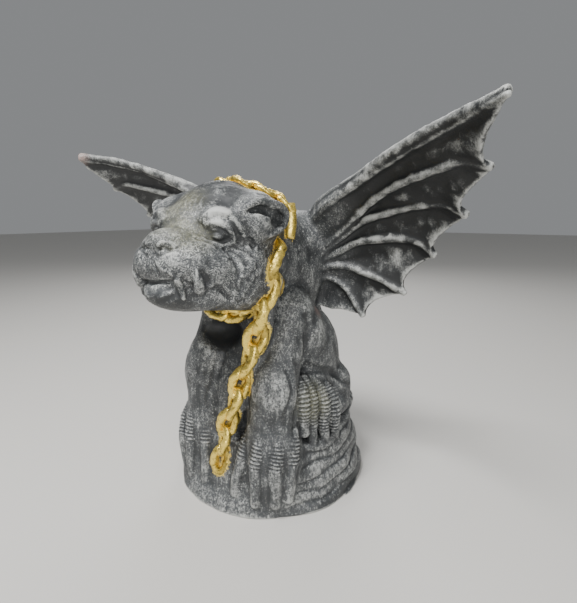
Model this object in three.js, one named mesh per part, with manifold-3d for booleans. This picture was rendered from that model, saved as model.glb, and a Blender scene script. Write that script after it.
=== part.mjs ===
// Stone gargoyle, winged, crouching on its own rock base, with a gilded chain.
// One casting: every form is joined into one closed solid.
// Millimetres, +Z up.  The creature faces -Y, its left side is +X.
// The origin is the middle of the underside of the base.
import * as THREE from 'three';
import { mergeVertices } from 'three/addons/utils/BufferGeometryUtils.js';
import Module from 'manifold-3d';

const wasm = await Module();
wasm.setup();

// ---------------------------------------------------------------- driving sizes
const baseRadius = 94;
const rockHeight = 60;
const baseTaper = 0.14;
const courseHeight = 14;
const headCentre = [0, -72, 239];
// The head looks a little to the creature's left, turned about the middle of the neck.
const headTurn = 6;
const neckMiddle = [0, -50, 0];
const membraneThickness = 5;
const ridgeHalfWidth = 0.13;
const leashWire = 3.6;
const frontToeRadius = 7.4;
const hindToeRadius = 5.6;

// Wing fingers from root to tip; the first one is the arm on the leading edge.
const wingFingers = [
  [[44, 3, 259], [96, -34, 274], [156, -58, 299], [208, -84, 315]],
  [[58, 13, 255], [118, -10, 275], [167, -32, 288], [196, -35, 285]],
  [[46, 13, 227], [91, 5, 243], [143, -1, 262], [178, -5, 256]],
  [[42, 14, 214], [82, 13, 225], [126, 12, 236], [153, 15, 224]],
  [[40, 15, 203], [71, 19, 208], [104, 20, 204], [129, 25, 189]],
  [[36, 17, 192], [53, 23, 191], [72, 26, 184], [88, 27, 165]],
  [[23, 17, 180], [33, 21, 178], [44, 24, 176], [56, 27, 174]],
];
const scallopDepth = [12, 13, 12, 12, 10, 2];
// The right wing has lost its point: it stops this far from the middle.
const chippedWingReach = 199;

// Front toes of the left paw: top of the knuckles, knuckle bend and claw tip.
const frontToes = [
  [[24, -68, 72], [26, -84, 48], [30, -86, 22]],
  [[40, -70, 70], [44, -83, 48], [49, -85, 16]],
  [[54, -61, 68], [58, -71, 48], [60, -73, 14]],
  [[63, -50, 66], [67, -59, 46], [68, -59, 12]],
];

// Hind toes of the left foot: top, end of the ribbed part and claw tip.
const hindToes = [
  [[64, -52, 110], [69, -53, 88], [71, -54, 72]],
  [[66, -42, 113], [73, -43, 84], [76, -44, 64]],
  [[68, -27, 110], [74, -26, 76], [78, -24, 54]],
  [[68, -14, 104], [75, -10, 70], [78, -6, 50]],
];

// Chain path of the leash, from the collar at the creature's left down the front.
const leashPath = [
  [57, -55, 237], [54, -67, 217], [51, -74, 191], [44, -80, 166], [33, -82, 137],
  [25, -84, 110], [17, -85, 84], [8, -86, 58], [1, -85, 33], [0, -82, 19],
];
const leashLinks = 10;
const collarPath = [
  [0, -43, 285], [27, -41, 277], [44, -41, 259], [51, -44, 235], [49, -56, 202],
  [40, -68, 179], [21, -76, 170],
];
const collarLinks = 16;

// ---------------------------------------------------------------- small helpers
const vec = (p) => new THREE.Vector3(...p);

function toSolid(geometry) {
  const plain = geometry.index ? geometry.clone() : geometry;
  plain.deleteAttribute('normal');
  plain.deleteAttribute('uv');
  const merged = mergeVertices(plain, 1e-4);
  return new wasm.Manifold(new wasm.Mesh({
    numProp: 3,
    vertProperties: Float32Array.from(merged.attributes.position.array),
    triVerts: Uint32Array.from(merged.index.array),
  }));
}

function join(solids) {
  return solids.reduce((sum, next) => sum.add(next));
}

// A ball stretched to three half sizes, turned about X, Y and Z in degrees.
function ball(centre, half, turn = [0, 0, 0], detail = 12) {
  const geometry = new THREE.SphereGeometry(1, detail, Math.round(detail * 0.6));
  const angles = turn.map(THREE.MathUtils.degToRad);
  const matrix = new THREE.Matrix4().compose(
    vec(centre),
    new THREE.Quaternion().setFromEuler(new THREE.Euler(...angles, 'ZYX')),
    vec(half),
  );
  return toSolid(geometry.applyMatrix4(matrix));
}

const mirrorX = ([x, y, z]) => [-x, y, z];

// The same ball on both sides of the middle plane.
function ballPair(centre, half, turn = [0, 0, 0], detail = 12) {
  const left = ball(centre, half, turn, detail);
  const right = ball(mirrorX(centre), half, [turn[0], -turn[1], -turn[2]], detail);
  return left.add(right);
}

// Closed skin over equal rings of points, with a pole at each end.
function skinRings(rings, firstPole, lastPole) {
  const sides = rings[0].length;
  const positions = [...rings.flat(), firstPole, lastPole].flatMap((p) => [p.x, p.y, p.z]);
  const index = [];
  const poleA = rings.length * sides;
  const poleB = poleA + 1;
  const last = (rings.length - 1) * sides;
  for (let s = 0; s < sides; s += 1) {
    const n = (s + 1) % sides;
    index.push(poleA, n, s);
    index.push(poleB, last + s, last + n);
    for (let r = 0; r < rings.length - 1; r += 1) {
      const a = r * sides;
      const b = a + sides;
      index.push(a + s, a + n, b + n);
      index.push(a + s, b + n, b + s);
    }
  }
  const geometry = new THREE.BufferGeometry();
  geometry.setAttribute('position', new THREE.Float32BufferAttribute(positions, 3));
  geometry.setIndex(index);
  return toSolid(geometry);
}

// A round or flattened limb swept along a smooth curve.
function limb(points, radii, { sides = 8, steps = 8, wide = [1, 0, 0], flat = 1 } = {}) {
  const curve = new THREE.CatmullRomCurve3(points.map(vec), false, 'centripetal');
  const rings = [];
  for (let i = 0; i <= steps; i += 1) {
    const t = i / steps;
    const centre = curve.getPoint(t);
    const along = curve.getTangent(t);
    const broad = vec(wide).addScaledVector(along, -vec(wide).dot(along)).normalize();
    const thin = along.clone().cross(broad);
    const place = t * (radii.length - 1);
    const k = Math.min(Math.floor(place), radii.length - 2);
    const radius = THREE.MathUtils.lerp(radii[k], radii[k + 1], place - k);
    const ring = [];
    for (let s = 0; s < sides; s += 1) {
      const angle = (2 * Math.PI * s) / sides;
      ring.push(centre.clone()
        .addScaledVector(broad, radius * Math.cos(angle))
        .addScaledVector(thin, radius * flat * Math.sin(angle)));
    }
    rings.push(ring);
  }
  const startPole = curve.getPoint(0).addScaledVector(curve.getTangent(0), -radii[0] * flat * 0.5);
  const endPole = curve.getPoint(1)
    .addScaledVector(curve.getTangent(1), radii[radii.length - 1] * flat * 0.5);
  return skinRings(rings, startPole, endPole);
}

function limbPair(points, radii, options = {}) {
  return limb(points, radii, options).add(limb(points.map(mirrorX), radii, options));
}

// ---------------------------------------------------------------- rock base
// A low round drum in slanting courses of stone, each set back from the one below.
function rockBase() {
  const sides = 22;
  const levels = [[0, 1], [6, 1.01]];
  for (let z = courseHeight; z < rockHeight; z += courseHeight) {
    const scale = 1 - (baseTaper * z) / rockHeight;
    levels.push([z - 2, scale + 0.012], [z + 1.5, scale - 0.022]);
  }
  levels.push([rockHeight, 1 - baseTaper]);
  const rings = levels.map(([z, scale]) => {
    const ring = [];
    for (let i = 0; i < sides; i += 1) {
      const angle = (2 * Math.PI * i) / sides;
      const slant = 3 * Math.sin(angle * 2 + 0.6) * (z / rockHeight);
      ring.push(new THREE.Vector3(
        baseRadius * scale * Math.cos(angle), baseRadius * scale * Math.sin(angle), z + slant,
      ));
    }
    return ring;
  });
  return skinRings(rings, new THREE.Vector3(0, 0, 0), new THREE.Vector3(0, 0, rockHeight + 6));
}

// ---------------------------------------------------------------- body
function torso() {
  const chest = ball([0, -20, 138], [44, 40, 64], [0, 0, 0], 9);
  const barrel = ball([0, 9, 132], [49, 46, 72], [-8, 0, 0], 10);
  const rump = ball([0, 38, 90], [46, 38, 48], [0, 0, 0], 9);
  const nape = ball([0, -32, 230], [45, 37, 49], [18, 0, 0], 10);
  const withers = ball([0, 2, 212], [49, 34, 52], [0, 0, 0], 10);
  const spine = limb(
    [[0, 4, 252], [0, 34, 212], [0, 54, 160], [0, 72, 104], [0, 76, 72]],
    [10, 13, 10, 13, 10, 13, 10, 13, 10],
    { sides: 5, steps: 8, wide: [1, 0, 0], flat: 0.9 },
  );
  const tail = limb(
    [[0, 68, 76], [28, 72, 66], [48, 62, 62], [60, 42, 62]],
    [13, 10, 8, 5],
    { sides: 6, steps: 6, wide: [0, 0, 1] },
  );
  return join([chest, barrel, rump, nape, withers, tail, spine]);
}

function foreleg() {
  const shoulder = ballPair([41, -24, 166], [24, 27, 32], [0, 0, 0], 8);
  const upper = limbPair(
    [[42, -28, 166], [43, -38, 136], [43, -48, 106], [44, -52, 76], [47, -52, 48]],
    [24, 24, 23, 24, 25],
    { sides: 9, steps: 5, flat: 0.95 },
  );
  return shoulder.add(upper);
}

// A toe: ringed knuckles and a claw in one limb, hanging over the edge of the rock.
function toe(path, radius) {
  const swell = [0.9, 1.12, 0.94, 1.1, 1.0, 0.55];
  return limb(path, swell.map((k) => k * radius), { sides: 5, steps: 5 });
}

function toePairs(paths, radius) {
  return join(paths.flatMap((path) => [toe(path, radius), toe(path.map(mirrorX), radius)]));
}

function frontPaws() {
  const palms = ballPair([45, -58, 58], [26, 22, 26], [0, 0, 20], 7);
  return palms.add(toePairs(frontToes, frontToeRadius));
}

function hindLegs() {
  const haunch = ballPair([50, -2, 126], [20, 30, 52], [22, 0, 0], 9);
  const heel = ballPair([58, 18, 86], [18, 26, 26], [0, 0, 0], 7);
  const knee = ballPair([54, -14, 146], [15, 20, 28], [20, 0, 0], 7);
  const foot = ballPair([58, -22, 92], [18, 36, 26], [-8, 0, 0], 7);
  const ledge = ballPair([58, 0, 56], [25, 34, 17], [0, 0, 0], 7);
  return join([haunch, heel, knee, foot, ledge, toePairs(hindToes, hindToeRadius)]);
}

// ---------------------------------------------------------------- head
// Every place is given from the centre of the head: across, back and up.
function head() {
  const [, hy, hz] = headCentre;
  const at = (across, back, up) => [across, hy + back, hz + up];
  const skull = ball(at(0, 0, 1), [48, 44, 42], [0, 0, 0], 10);
  const cheeks = ballPair(at(32, -5, -26), [25, 33, 29], [0, 0, 10], 9);
  const muzzle = ball(at(0, -46, -15), [29, 31, 24], [0, 0, 0], 9);
  const nose = ball(at(0, -68, -7), [15, 12, 12], [0, 0, 0], 7);
  const pads = ballPair(at(11, -67, -19), [12, 13, 12], [0, 0, 0], 6);
  const jaw = ball(at(0, -46, -40), [24, 32, 14], [-6, 0, 0], 8);
  const bridge = ball(at(0, -38, 7), [14, 34, 13], [-18, 0, 0], 6);
  const brows = limbPair(
    [at(8, -49, 11), at(28, -38, 20), at(42, -30, 14), at(48, -22, 0)],
    [6, 7, 6, 4],
    { sides: 5, steps: 3, wide: [0, 0, 1] },
  );
  const fangs = limbPair([at(18, -68, -24), at(17, -67, -38)], [3.8, 1], { sides: 4, steps: 1 });
  const tusks = limbPair([at(23, -58, -38), at(24, -61, -20)], [5, 1], { sides: 4, steps: 1 });
  const ears = ballPair(at(50, -11, 19), [12, 19, 17], [0, 20, 20], 8);
  const hollows = ballPair(at(60, -22, 19), [8, 12, 9], [0, 20, 20], 6);
  const eyes = ballPair(at(30, -34, 4), [10, 11, 7], [0, 0, 0], 6);
  const mouth = limb(
    [at(-30, -56, -30), at(-15, -72, -28), at(0, -78, -28), at(15, -72, -28), at(30, -56, -30)],
    [3, 3, 3, 3, 3],
    { sides: 4, steps: 4, wide: [0, 0, 1], flat: 1.6 },
  );
  const solid = join([skull, cheeks, muzzle, nose, pads, jaw, bridge, brows, ears]);
  const straight = join([solid.subtract(join([hollows, mouth])), eyes, fangs, tusks]);
  return straight.translate(neckMiddle.map((v) => -v)).rotate([0, 0, headTurn])
    .translate(neckMiddle);
}

// ---------------------------------------------------------------- wings
const fingerCurves = wingFingers.map((points) => new THREE.CatmullRomCurve3(points.map(vec)));

// A point on the wing skin: `across` counts fingers, `along` runs root to tip.
function wingPoint(across, along) {
  const k = Math.min(Math.floor(across), wingFingers.length - 2);
  const f = across - k;
  const here = fingerCurves[k].getPoint(along).lerp(fingerCurves[k + 1].getPoint(along), f);
  const edgeA = fingerCurves[k].getPoint(1);
  const edgeB = fingerCurves[k + 1].getPoint(1);
  const inward = fingerCurves[k].getPoint(0).lerp(fingerCurves[k + 1].getPoint(0), 0.5)
    .sub(edgeA.clone().lerp(edgeB, 0.5)).normalize();
  const dip = 4 * f * (1 - f);
  here.addScaledVector(inward, scallopDepth[k] * dip * along ** 2);
  here.y += 5 * dip * Math.sin(Math.PI * Math.min(1, along * 1.1));
  return here;
}

// Ridge height of the finger nearest to `across`, on each face of the skin.
function ridge(across, along) {
  const k = Math.round(across);
  const offside = Math.abs(across - k) / ridgeHalfWidth;
  const height = k === 0 ? 9 - 5 * along : 4.2 - 1.6 * along;
  return offside < 0.5 && k < wingFingers.length - 1 ? height : 0;
}

function wingSkin() {
  const columns = [0];
  for (let k = 0; k < wingFingers.length - 1; k += 1) {
    if (k > 0) columns.push(k);
    columns.push(k + ridgeHalfWidth, k + 0.5);
    if (k < wingFingers.length - 2) columns.push(k + 1 - ridgeHalfWidth);
  }
  columns.push(wingFingers.length - 1);
  const rows = 5;
  const front = [];
  const back = [];
  for (const across of columns) {
    for (let j = 0; j <= rows; j += 1) {
      const p = wingPoint(across, j / rows);
      const half = membraneThickness / 2 + ridge(across, j / rows);
      front.push(p.clone().add(new THREE.Vector3(0, -half, 0)));
      back.push(p.clone().add(new THREE.Vector3(0, half, 0)));
    }
  }
  const width = rows + 1;
  const last = columns.length - 1;
  const offset = front.length;
  const index = [];
  for (let i = 0; i < last; i += 1) {
    for (let j = 0; j < rows; j += 1) {
      const a = i * width + j;
      const b = a + width;
      index.push(a, b, b + 1, a, b + 1, a + 1);
      index.push(offset + a, offset + b + 1, offset + b, offset + a, offset + a + 1, offset + b + 1);
    }
  }
  const edge = [];
  for (let i = 0; i < last; i += 1) edge.push(i * width);
  for (let j = 0; j < rows; j += 1) edge.push(last * width + j);
  for (let i = last; i > 0; i -= 1) edge.push(i * width + rows);
  for (let j = rows; j > 0; j -= 1) edge.push(j);
  edge.forEach((a, i) => {
    const b = edge[(i + 1) % edge.length];
    index.push(a, offset + a, offset + b, a, offset + b, b);
  });
  const geometry = new THREE.BufferGeometry();
  const positions = [...front, ...back].flatMap((p) => [p.x, p.y, p.z]);
  geometry.setAttribute('position', new THREE.Float32BufferAttribute(positions, 3));
  geometry.setIndex(index);
  return toSolid(geometry);
}

function leftWing() {
  const arm = limb(
    [[33, 11, 238], [60, -10, 260], ...wingFingers[0].slice(1)],
    [22, 15, 12, 8, 3],
    { sides: 6, steps: 7, wide: [0, 1, -0.6], flat: 0.55 },
  );
  return wingSkin().add(arm);
}

// ---------------------------------------------------------------- chain
// A twisted oval link lying along a curve.
function link(centre, along, face, long, wide, wire, twist) {
  const geometry = new THREE.TorusGeometry(1, 0.5, 4, 6);
  const positions = geometry.attributes.position;
  for (let i = 0; i < positions.count; i += 1) {
    const x = positions.getX(i);
    const y = positions.getY(i);
    const ringRadius = Math.hypot(x, y);
    const c = x / ringRadius;
    const s = y / ringRadius;
    const out = (ringRadius - 1) / 0.5;
    positions.setXYZ(
      i,
      c * (long / 2 - wire + wire * out),
      s * (wide / 2 - wire + wire * out),
      (positions.getZ(i) / 0.5) * wire,
    );
  }
  const x = along.clone().normalize();
  const z = face.clone().addScaledVector(x, -face.dot(x)).normalize();
  const y = z.clone().cross(x);
  const basis = new THREE.Matrix4().makeBasis(x, y, z);
  const turn = new THREE.Matrix4().makeRotationX(twist);
  const place = new THREE.Matrix4().makeTranslation(centre.x, centre.y, centre.z);
  return toSolid(geometry.applyMatrix4(place.multiply(basis).multiply(turn)));
}

function leash() {
  const curve = new THREE.CatmullRomCurve3(leashPath.map(vec));
  const pitch = curve.getLength() / leashLinks;
  const parts = [];
  for (let i = 0; i < leashLinks; i += 1) {
    const t = (i + 0.5) / leashLinks;
    const forward = new THREE.Vector3(0.45, -1, 0);
    const twist = (i % 2 ? 1 : -1) * 0.6;
    parts.push(link(
      curve.getPointAt(t), curve.getTangentAt(t), forward, pitch * 1.5, 19, leashWire, twist,
    ));
  }
  const core = limb(leashPath, leashPath.map(() => 6), { sides: 4, steps: 6, flat: 0.8 });
  return join([core, ...parts]);
}

// Chain collar round the neck: one ring, swelling and thinning link by link.
function collar() {
  const points = [...collarPath, ...collarPath.slice(1).reverse().map(mirrorX)].map(vec);
  const curve = new THREE.CatmullRomCurve3(points, true);
  const hub = new THREE.Vector3(0, -52, 228);
  const sides = 5;
  const count = collarLinks * 2;
  const positions = [];
  const index = [];
  for (let i = 0; i < count; i += 1) {
    const centre = curve.getPointAt(i / count);
    const along = curve.getTangentAt(i / count);
    const outward = centre.clone().sub(hub);
    outward.addScaledVector(along, -outward.dot(along)).normalize();
    const side = along.clone().cross(outward);
    const breadth = i % 2 ? 9 : 5.5;
    const height = i % 2 ? 5 : 7;
    for (let j = 0; j < sides; j += 1) {
      const angle = (2 * Math.PI * j) / sides;
      const p = centre.clone()
        .addScaledVector(outward, height * Math.cos(angle))
        .addScaledVector(side, breadth * Math.sin(angle));
      positions.push(p.x, p.y, p.z);
      const n = (j + 1) % sides;
      const here = i * sides;
      const next = ((i + 1) % count) * sides;
      index.push(here + j, here + n, next + n, here + j, next + n, next + j);
    }
  }
  const geometry = new THREE.BufferGeometry();
  geometry.setAttribute('position', new THREE.Float32BufferAttribute(positions, 3));
  geometry.setIndex(index);
  return toSolid(geometry);
}

function neck() {
  return limb(
    [[0, -4, 206], [0, -26, 219], [0, -50, 228], [0, -72, 232]],
    [51, 51, 49, 46],
    { sides: 12, steps: 3, flat: 0.92 },
  );
}

// ---------------------------------------------------------------- one casting
function mirrored(solid) {
  const mesh = solid.getMesh();
  const positions = Float32Array.from(mesh.vertProperties);
  const index = Uint32Array.from(mesh.triVerts);
  for (let i = 0; i < positions.length; i += mesh.numProp) positions[i] *= -1;
  for (let i = 0; i < index.length; i += 3) {
    [index[i], index[i + 1]] = [index[i + 1], index[i]];
  }
  return new wasm.Manifold(new wasm.Mesh({
    numProp: mesh.numProp, vertProperties: positions, triVerts: index,
  }));
}

function toGeometry(solid) {
  const mesh = solid.getMesh();
  const geometry = new THREE.BufferGeometry();
  const positions = new THREE.BufferAttribute(Float32Array.from(mesh.vertProperties), 3);
  geometry.setAttribute('position', positions);
  geometry.setIndex(new THREE.BufferAttribute(Uint32Array.from(mesh.triVerts), 1));
  return geometry;
}

const wing = leftWing();
const chippedWing = mirrored(wing).trimByPlane([1, 0, 0], -chippedWingReach);
const casting = join([
  rockBase(), torso(), neck(), foreleg(), frontPaws(), hindLegs(), head(),
  wing, chippedWing, collar(), leash(),
]);

const group = new THREE.Group();
group.name = 'stone_gargoyle';
const stone = new THREE.MeshStandardMaterial({ color: 0x3a3f45, roughness: 0.6 });
const gargoyle = new THREE.Mesh(toGeometry(casting), stone);
gargoyle.name = 'gargoyle';
group.add(gargoyle);

export default group;
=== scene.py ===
"""A winged stone gargoyle with a gilded chain, sculpted, painted and set on a pale floor.

Lengths are metres, in the row frame: +Z up, the creature faces -Y and its left side is +X.
Places on the figure are given in millimetres, which is what the sculptor's clay is worked
in; it is turned into metres when it leaves the block.
"""
import math

import bpy
import numpy as np
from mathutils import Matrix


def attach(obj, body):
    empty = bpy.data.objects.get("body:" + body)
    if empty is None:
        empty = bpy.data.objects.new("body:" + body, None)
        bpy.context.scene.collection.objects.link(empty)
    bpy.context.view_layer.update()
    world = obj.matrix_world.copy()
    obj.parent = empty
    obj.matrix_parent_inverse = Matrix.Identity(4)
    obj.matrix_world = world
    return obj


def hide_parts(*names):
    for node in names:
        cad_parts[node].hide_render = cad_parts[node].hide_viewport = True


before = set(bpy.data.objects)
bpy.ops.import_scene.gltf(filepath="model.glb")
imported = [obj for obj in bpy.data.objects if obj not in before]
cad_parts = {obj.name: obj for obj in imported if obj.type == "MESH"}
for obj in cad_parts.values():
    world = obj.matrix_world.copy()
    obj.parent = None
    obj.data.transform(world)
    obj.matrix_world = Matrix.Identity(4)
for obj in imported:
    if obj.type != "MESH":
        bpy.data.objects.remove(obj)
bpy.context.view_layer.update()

import openvdb
from bpy.props import FloatProperty, FloatVectorProperty, IntProperty, PointerProperty
from mathutils import Euler, Vector, kdtree

bl_info = {
    "name": "Stone Gargoyle",
    "version": (1, 0, 0),
    "blender": (4, 5, 0),
    "location": "3D View > Sidebar > Gargoyle",
    "description": "Sculpts, paints and stages a winged stone gargoyle with a gilded chain",
    "category": "Object",
}

MM = 0.001
SEED = 7
# The most triangles that a piece is given.
MOST_FACES = 199000


# ------------------------------------------------------------------------- settings
class GargoyleSettings(bpy.types.PropertyGroup):
    """Sizes and colours of the casting."""

    voxel: FloatProperty(
        name="Clay grain", description="Edge of a clay voxel", default=0.95 * MM,
        min=0.4 * MM, max=3 * MM, precision=5, subtype="DISTANCE", unit="LENGTH")
    face_limit: IntProperty(
        name="Faces", description="Most triangles in the finished casting", default=196000,
        min=20000, max=MOST_FACES)
    head_turn: FloatProperty(
        name="Head turn", description="How far the head looks to the creature's left",
        default=math.radians(6), subtype="ANGLE")
    lumps: FloatProperty(
        name="Lumps", description="Height of the hand-cast unevenness", default=0.55 * MM,
        precision=5, subtype="DISTANCE", unit="LENGTH")
    charcoal: FloatVectorProperty(
        name="Base paint", description="Charcoal paint in the hollows", size=3,
        subtype="COLOR_GAMMA", default=(0.245, 0.255, 0.262), min=0, max=1)
    silver: FloatVectorProperty(
        name="Dry brush", description="Silver grey paint dragged over the high places",
        size=3, subtype="COLOR_GAMMA", default=(0.68, 0.685, 0.67), min=0, max=1)
    yellowing: FloatVectorProperty(
        name="Yellowed paint", description="Warm tint left on the forehead and muzzle",
        size=3, subtype="COLOR_GAMMA", default=(0.60, 0.59, 0.44), min=0, max=1)
    bare: FloatVectorProperty(
        name="Bare cast", description="Pinkish body that shows where the paint is worn off",
        size=3, subtype="COLOR_GAMMA", default=(0.55, 0.46, 0.43), min=0, max=1)


class ChainSettings(bpy.types.PropertyGroup):
    """Sizes and colours of the gilded chain."""

    link_length: FloatProperty(
        name="Link length", description="Length of one link", default=38 * MM,
        precision=4, subtype="DISTANCE", unit="LENGTH")
    link_width: FloatProperty(
        name="Link width", description="Width of one link", default=22.5 * MM,
        precision=4, subtype="DISTANCE", unit="LENGTH")
    wire: FloatProperty(
        name="Wire", description="Thickness of the bar the links are bent from",
        default=8.4 * MM, precision=4, subtype="DISTANCE", unit="LENGTH")
    twist: FloatProperty(
        name="Twist", description="Turn between one end of a link and the other",
        default=math.radians(55), subtype="ANGLE")
    hammering: FloatProperty(
        name="Hammering", description="Depth of the dents in the links", default=3.2 * MM,
        precision=4, subtype="DISTANCE", unit="LENGTH")
    leash_links: IntProperty(
        name="Leash links", description="Links in the hanging end", default=10, min=4, max=20)
    collar_links: IntProperty(
        name="Collar links", description="Links over the nape, and as many under the throat",
        default=7, min=3, max=20)
    gold: FloatVectorProperty(
        name="Gold paint", description="Gold on the faces of the links", size=3,
        subtype="COLOR_GAMMA", default=(1.0, 0.88, 0.44), min=0, max=1)
    shade: FloatVectorProperty(
        name="Gold shade", description="Brown in the creases of the links", size=3,
        subtype="COLOR_GAMMA", default=(0.33, 0.24, 0.10), min=0, max=1)


class StageSettings(bpy.types.PropertyGroup):
    """Floor, lamps and camera."""

    floor_colour: FloatVectorProperty(
        name="Floor", description="Colour of the pale floor", size=3,
        subtype="COLOR_GAMMA", default=(0.80, 0.79, 0.77), min=0, max=1)
    camera_place: FloatVectorProperty(
        name="Camera", description="Place of the lens", size=3, subtype="TRANSLATION",
        unit="LENGTH", default=(0.2425, -0.3270, 0.2565))
    camera_heading: FloatProperty(
        name="Heading", description="Turn of the view about the upright", subtype="ANGLE",
        default=math.radians(34.4))
    camera_dip: FloatProperty(
        name="Dip", description="How far the view looks down", subtype="ANGLE",
        default=math.radians(11.87))
    lens: FloatProperty(
        name="Lens", description="Focal length on a 36 mm sensor", default=24.72, min=10)


# ------------------------------------------------------------------- small helpers
def linear(colour):
    """An sRGB colour as the linear values that a shader takes."""
    return tuple(
        c / 12.92 if c <= 0.04045 else ((c + 0.055) / 1.055) ** 2.4 for c in colour)


def smoothstep(low, high, value):
    """0 up to low and 1 from high on, with a smooth rise between."""
    share = np.clip((value - low) / (high - low), 0, 1)
    return share * share * (3 - 2 * share)


def smooth_min(a, b, blend):
    """The lesser of two distances, rounded where they meet."""
    reach = np.maximum(blend - np.abs(a - b), 0)
    return np.minimum(a, b) - reach * reach / (4 * blend)


def catmull(points, count):
    """A smooth curve through the points, as count places along it."""
    points = np.array(points, float)
    padded = np.vstack([2 * points[0] - points[1], points, 2 * points[-1] - points[-2]])
    spans = len(points) - 1
    place = np.linspace(0, spans, count)
    span = np.minimum(place.astype(int), spans - 1)
    share = (place - span)[:, None]
    before, start, end, after = (padded[span + i] for i in range(4))
    return 0.5 * (2 * start + (end - before) * share
                  + (2 * before - 5 * start + 4 * end - after) * share ** 2
                  + (3 * start - before - 3 * end + after) * share ** 3)


def mirror(points):
    """The same places on the creature's right."""
    return [(-x, y, z) for x, y, z in points]


def between(grid, place, eased=False):
    """A grid's values at places between its points, in straight or eased steps."""
    corner = place.astype(int)
    share = place - corner
    if eased:
        share = share * share * (3 - 2 * share)
    total = 0
    for step in np.ndindex(2, 2, 2):
        weight = np.abs(1 - np.array(step) - share)
        total = total + weight[:, 0] * weight[:, 1] * weight[:, 2] * grid[tuple(
            (corner + step).T)]
    return total


def sides(both):
    """The creature's left side, and its right side too when both are wanted."""
    return (1, -1) if both else (1,)


def read_rows(items, name, width, kind=np.float32):
    """One property of every item of a mesh, as the rows of an array."""
    values = np.zeros(len(items) * width, kind)
    items.foreach_get(name, values)
    return values.reshape(-1, width)


# --------------------------------------------------------------------------- clay
# What lies nearer to the middle plane than this is made once, not once a side.
ON_MIDDLE = 0.01


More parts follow.
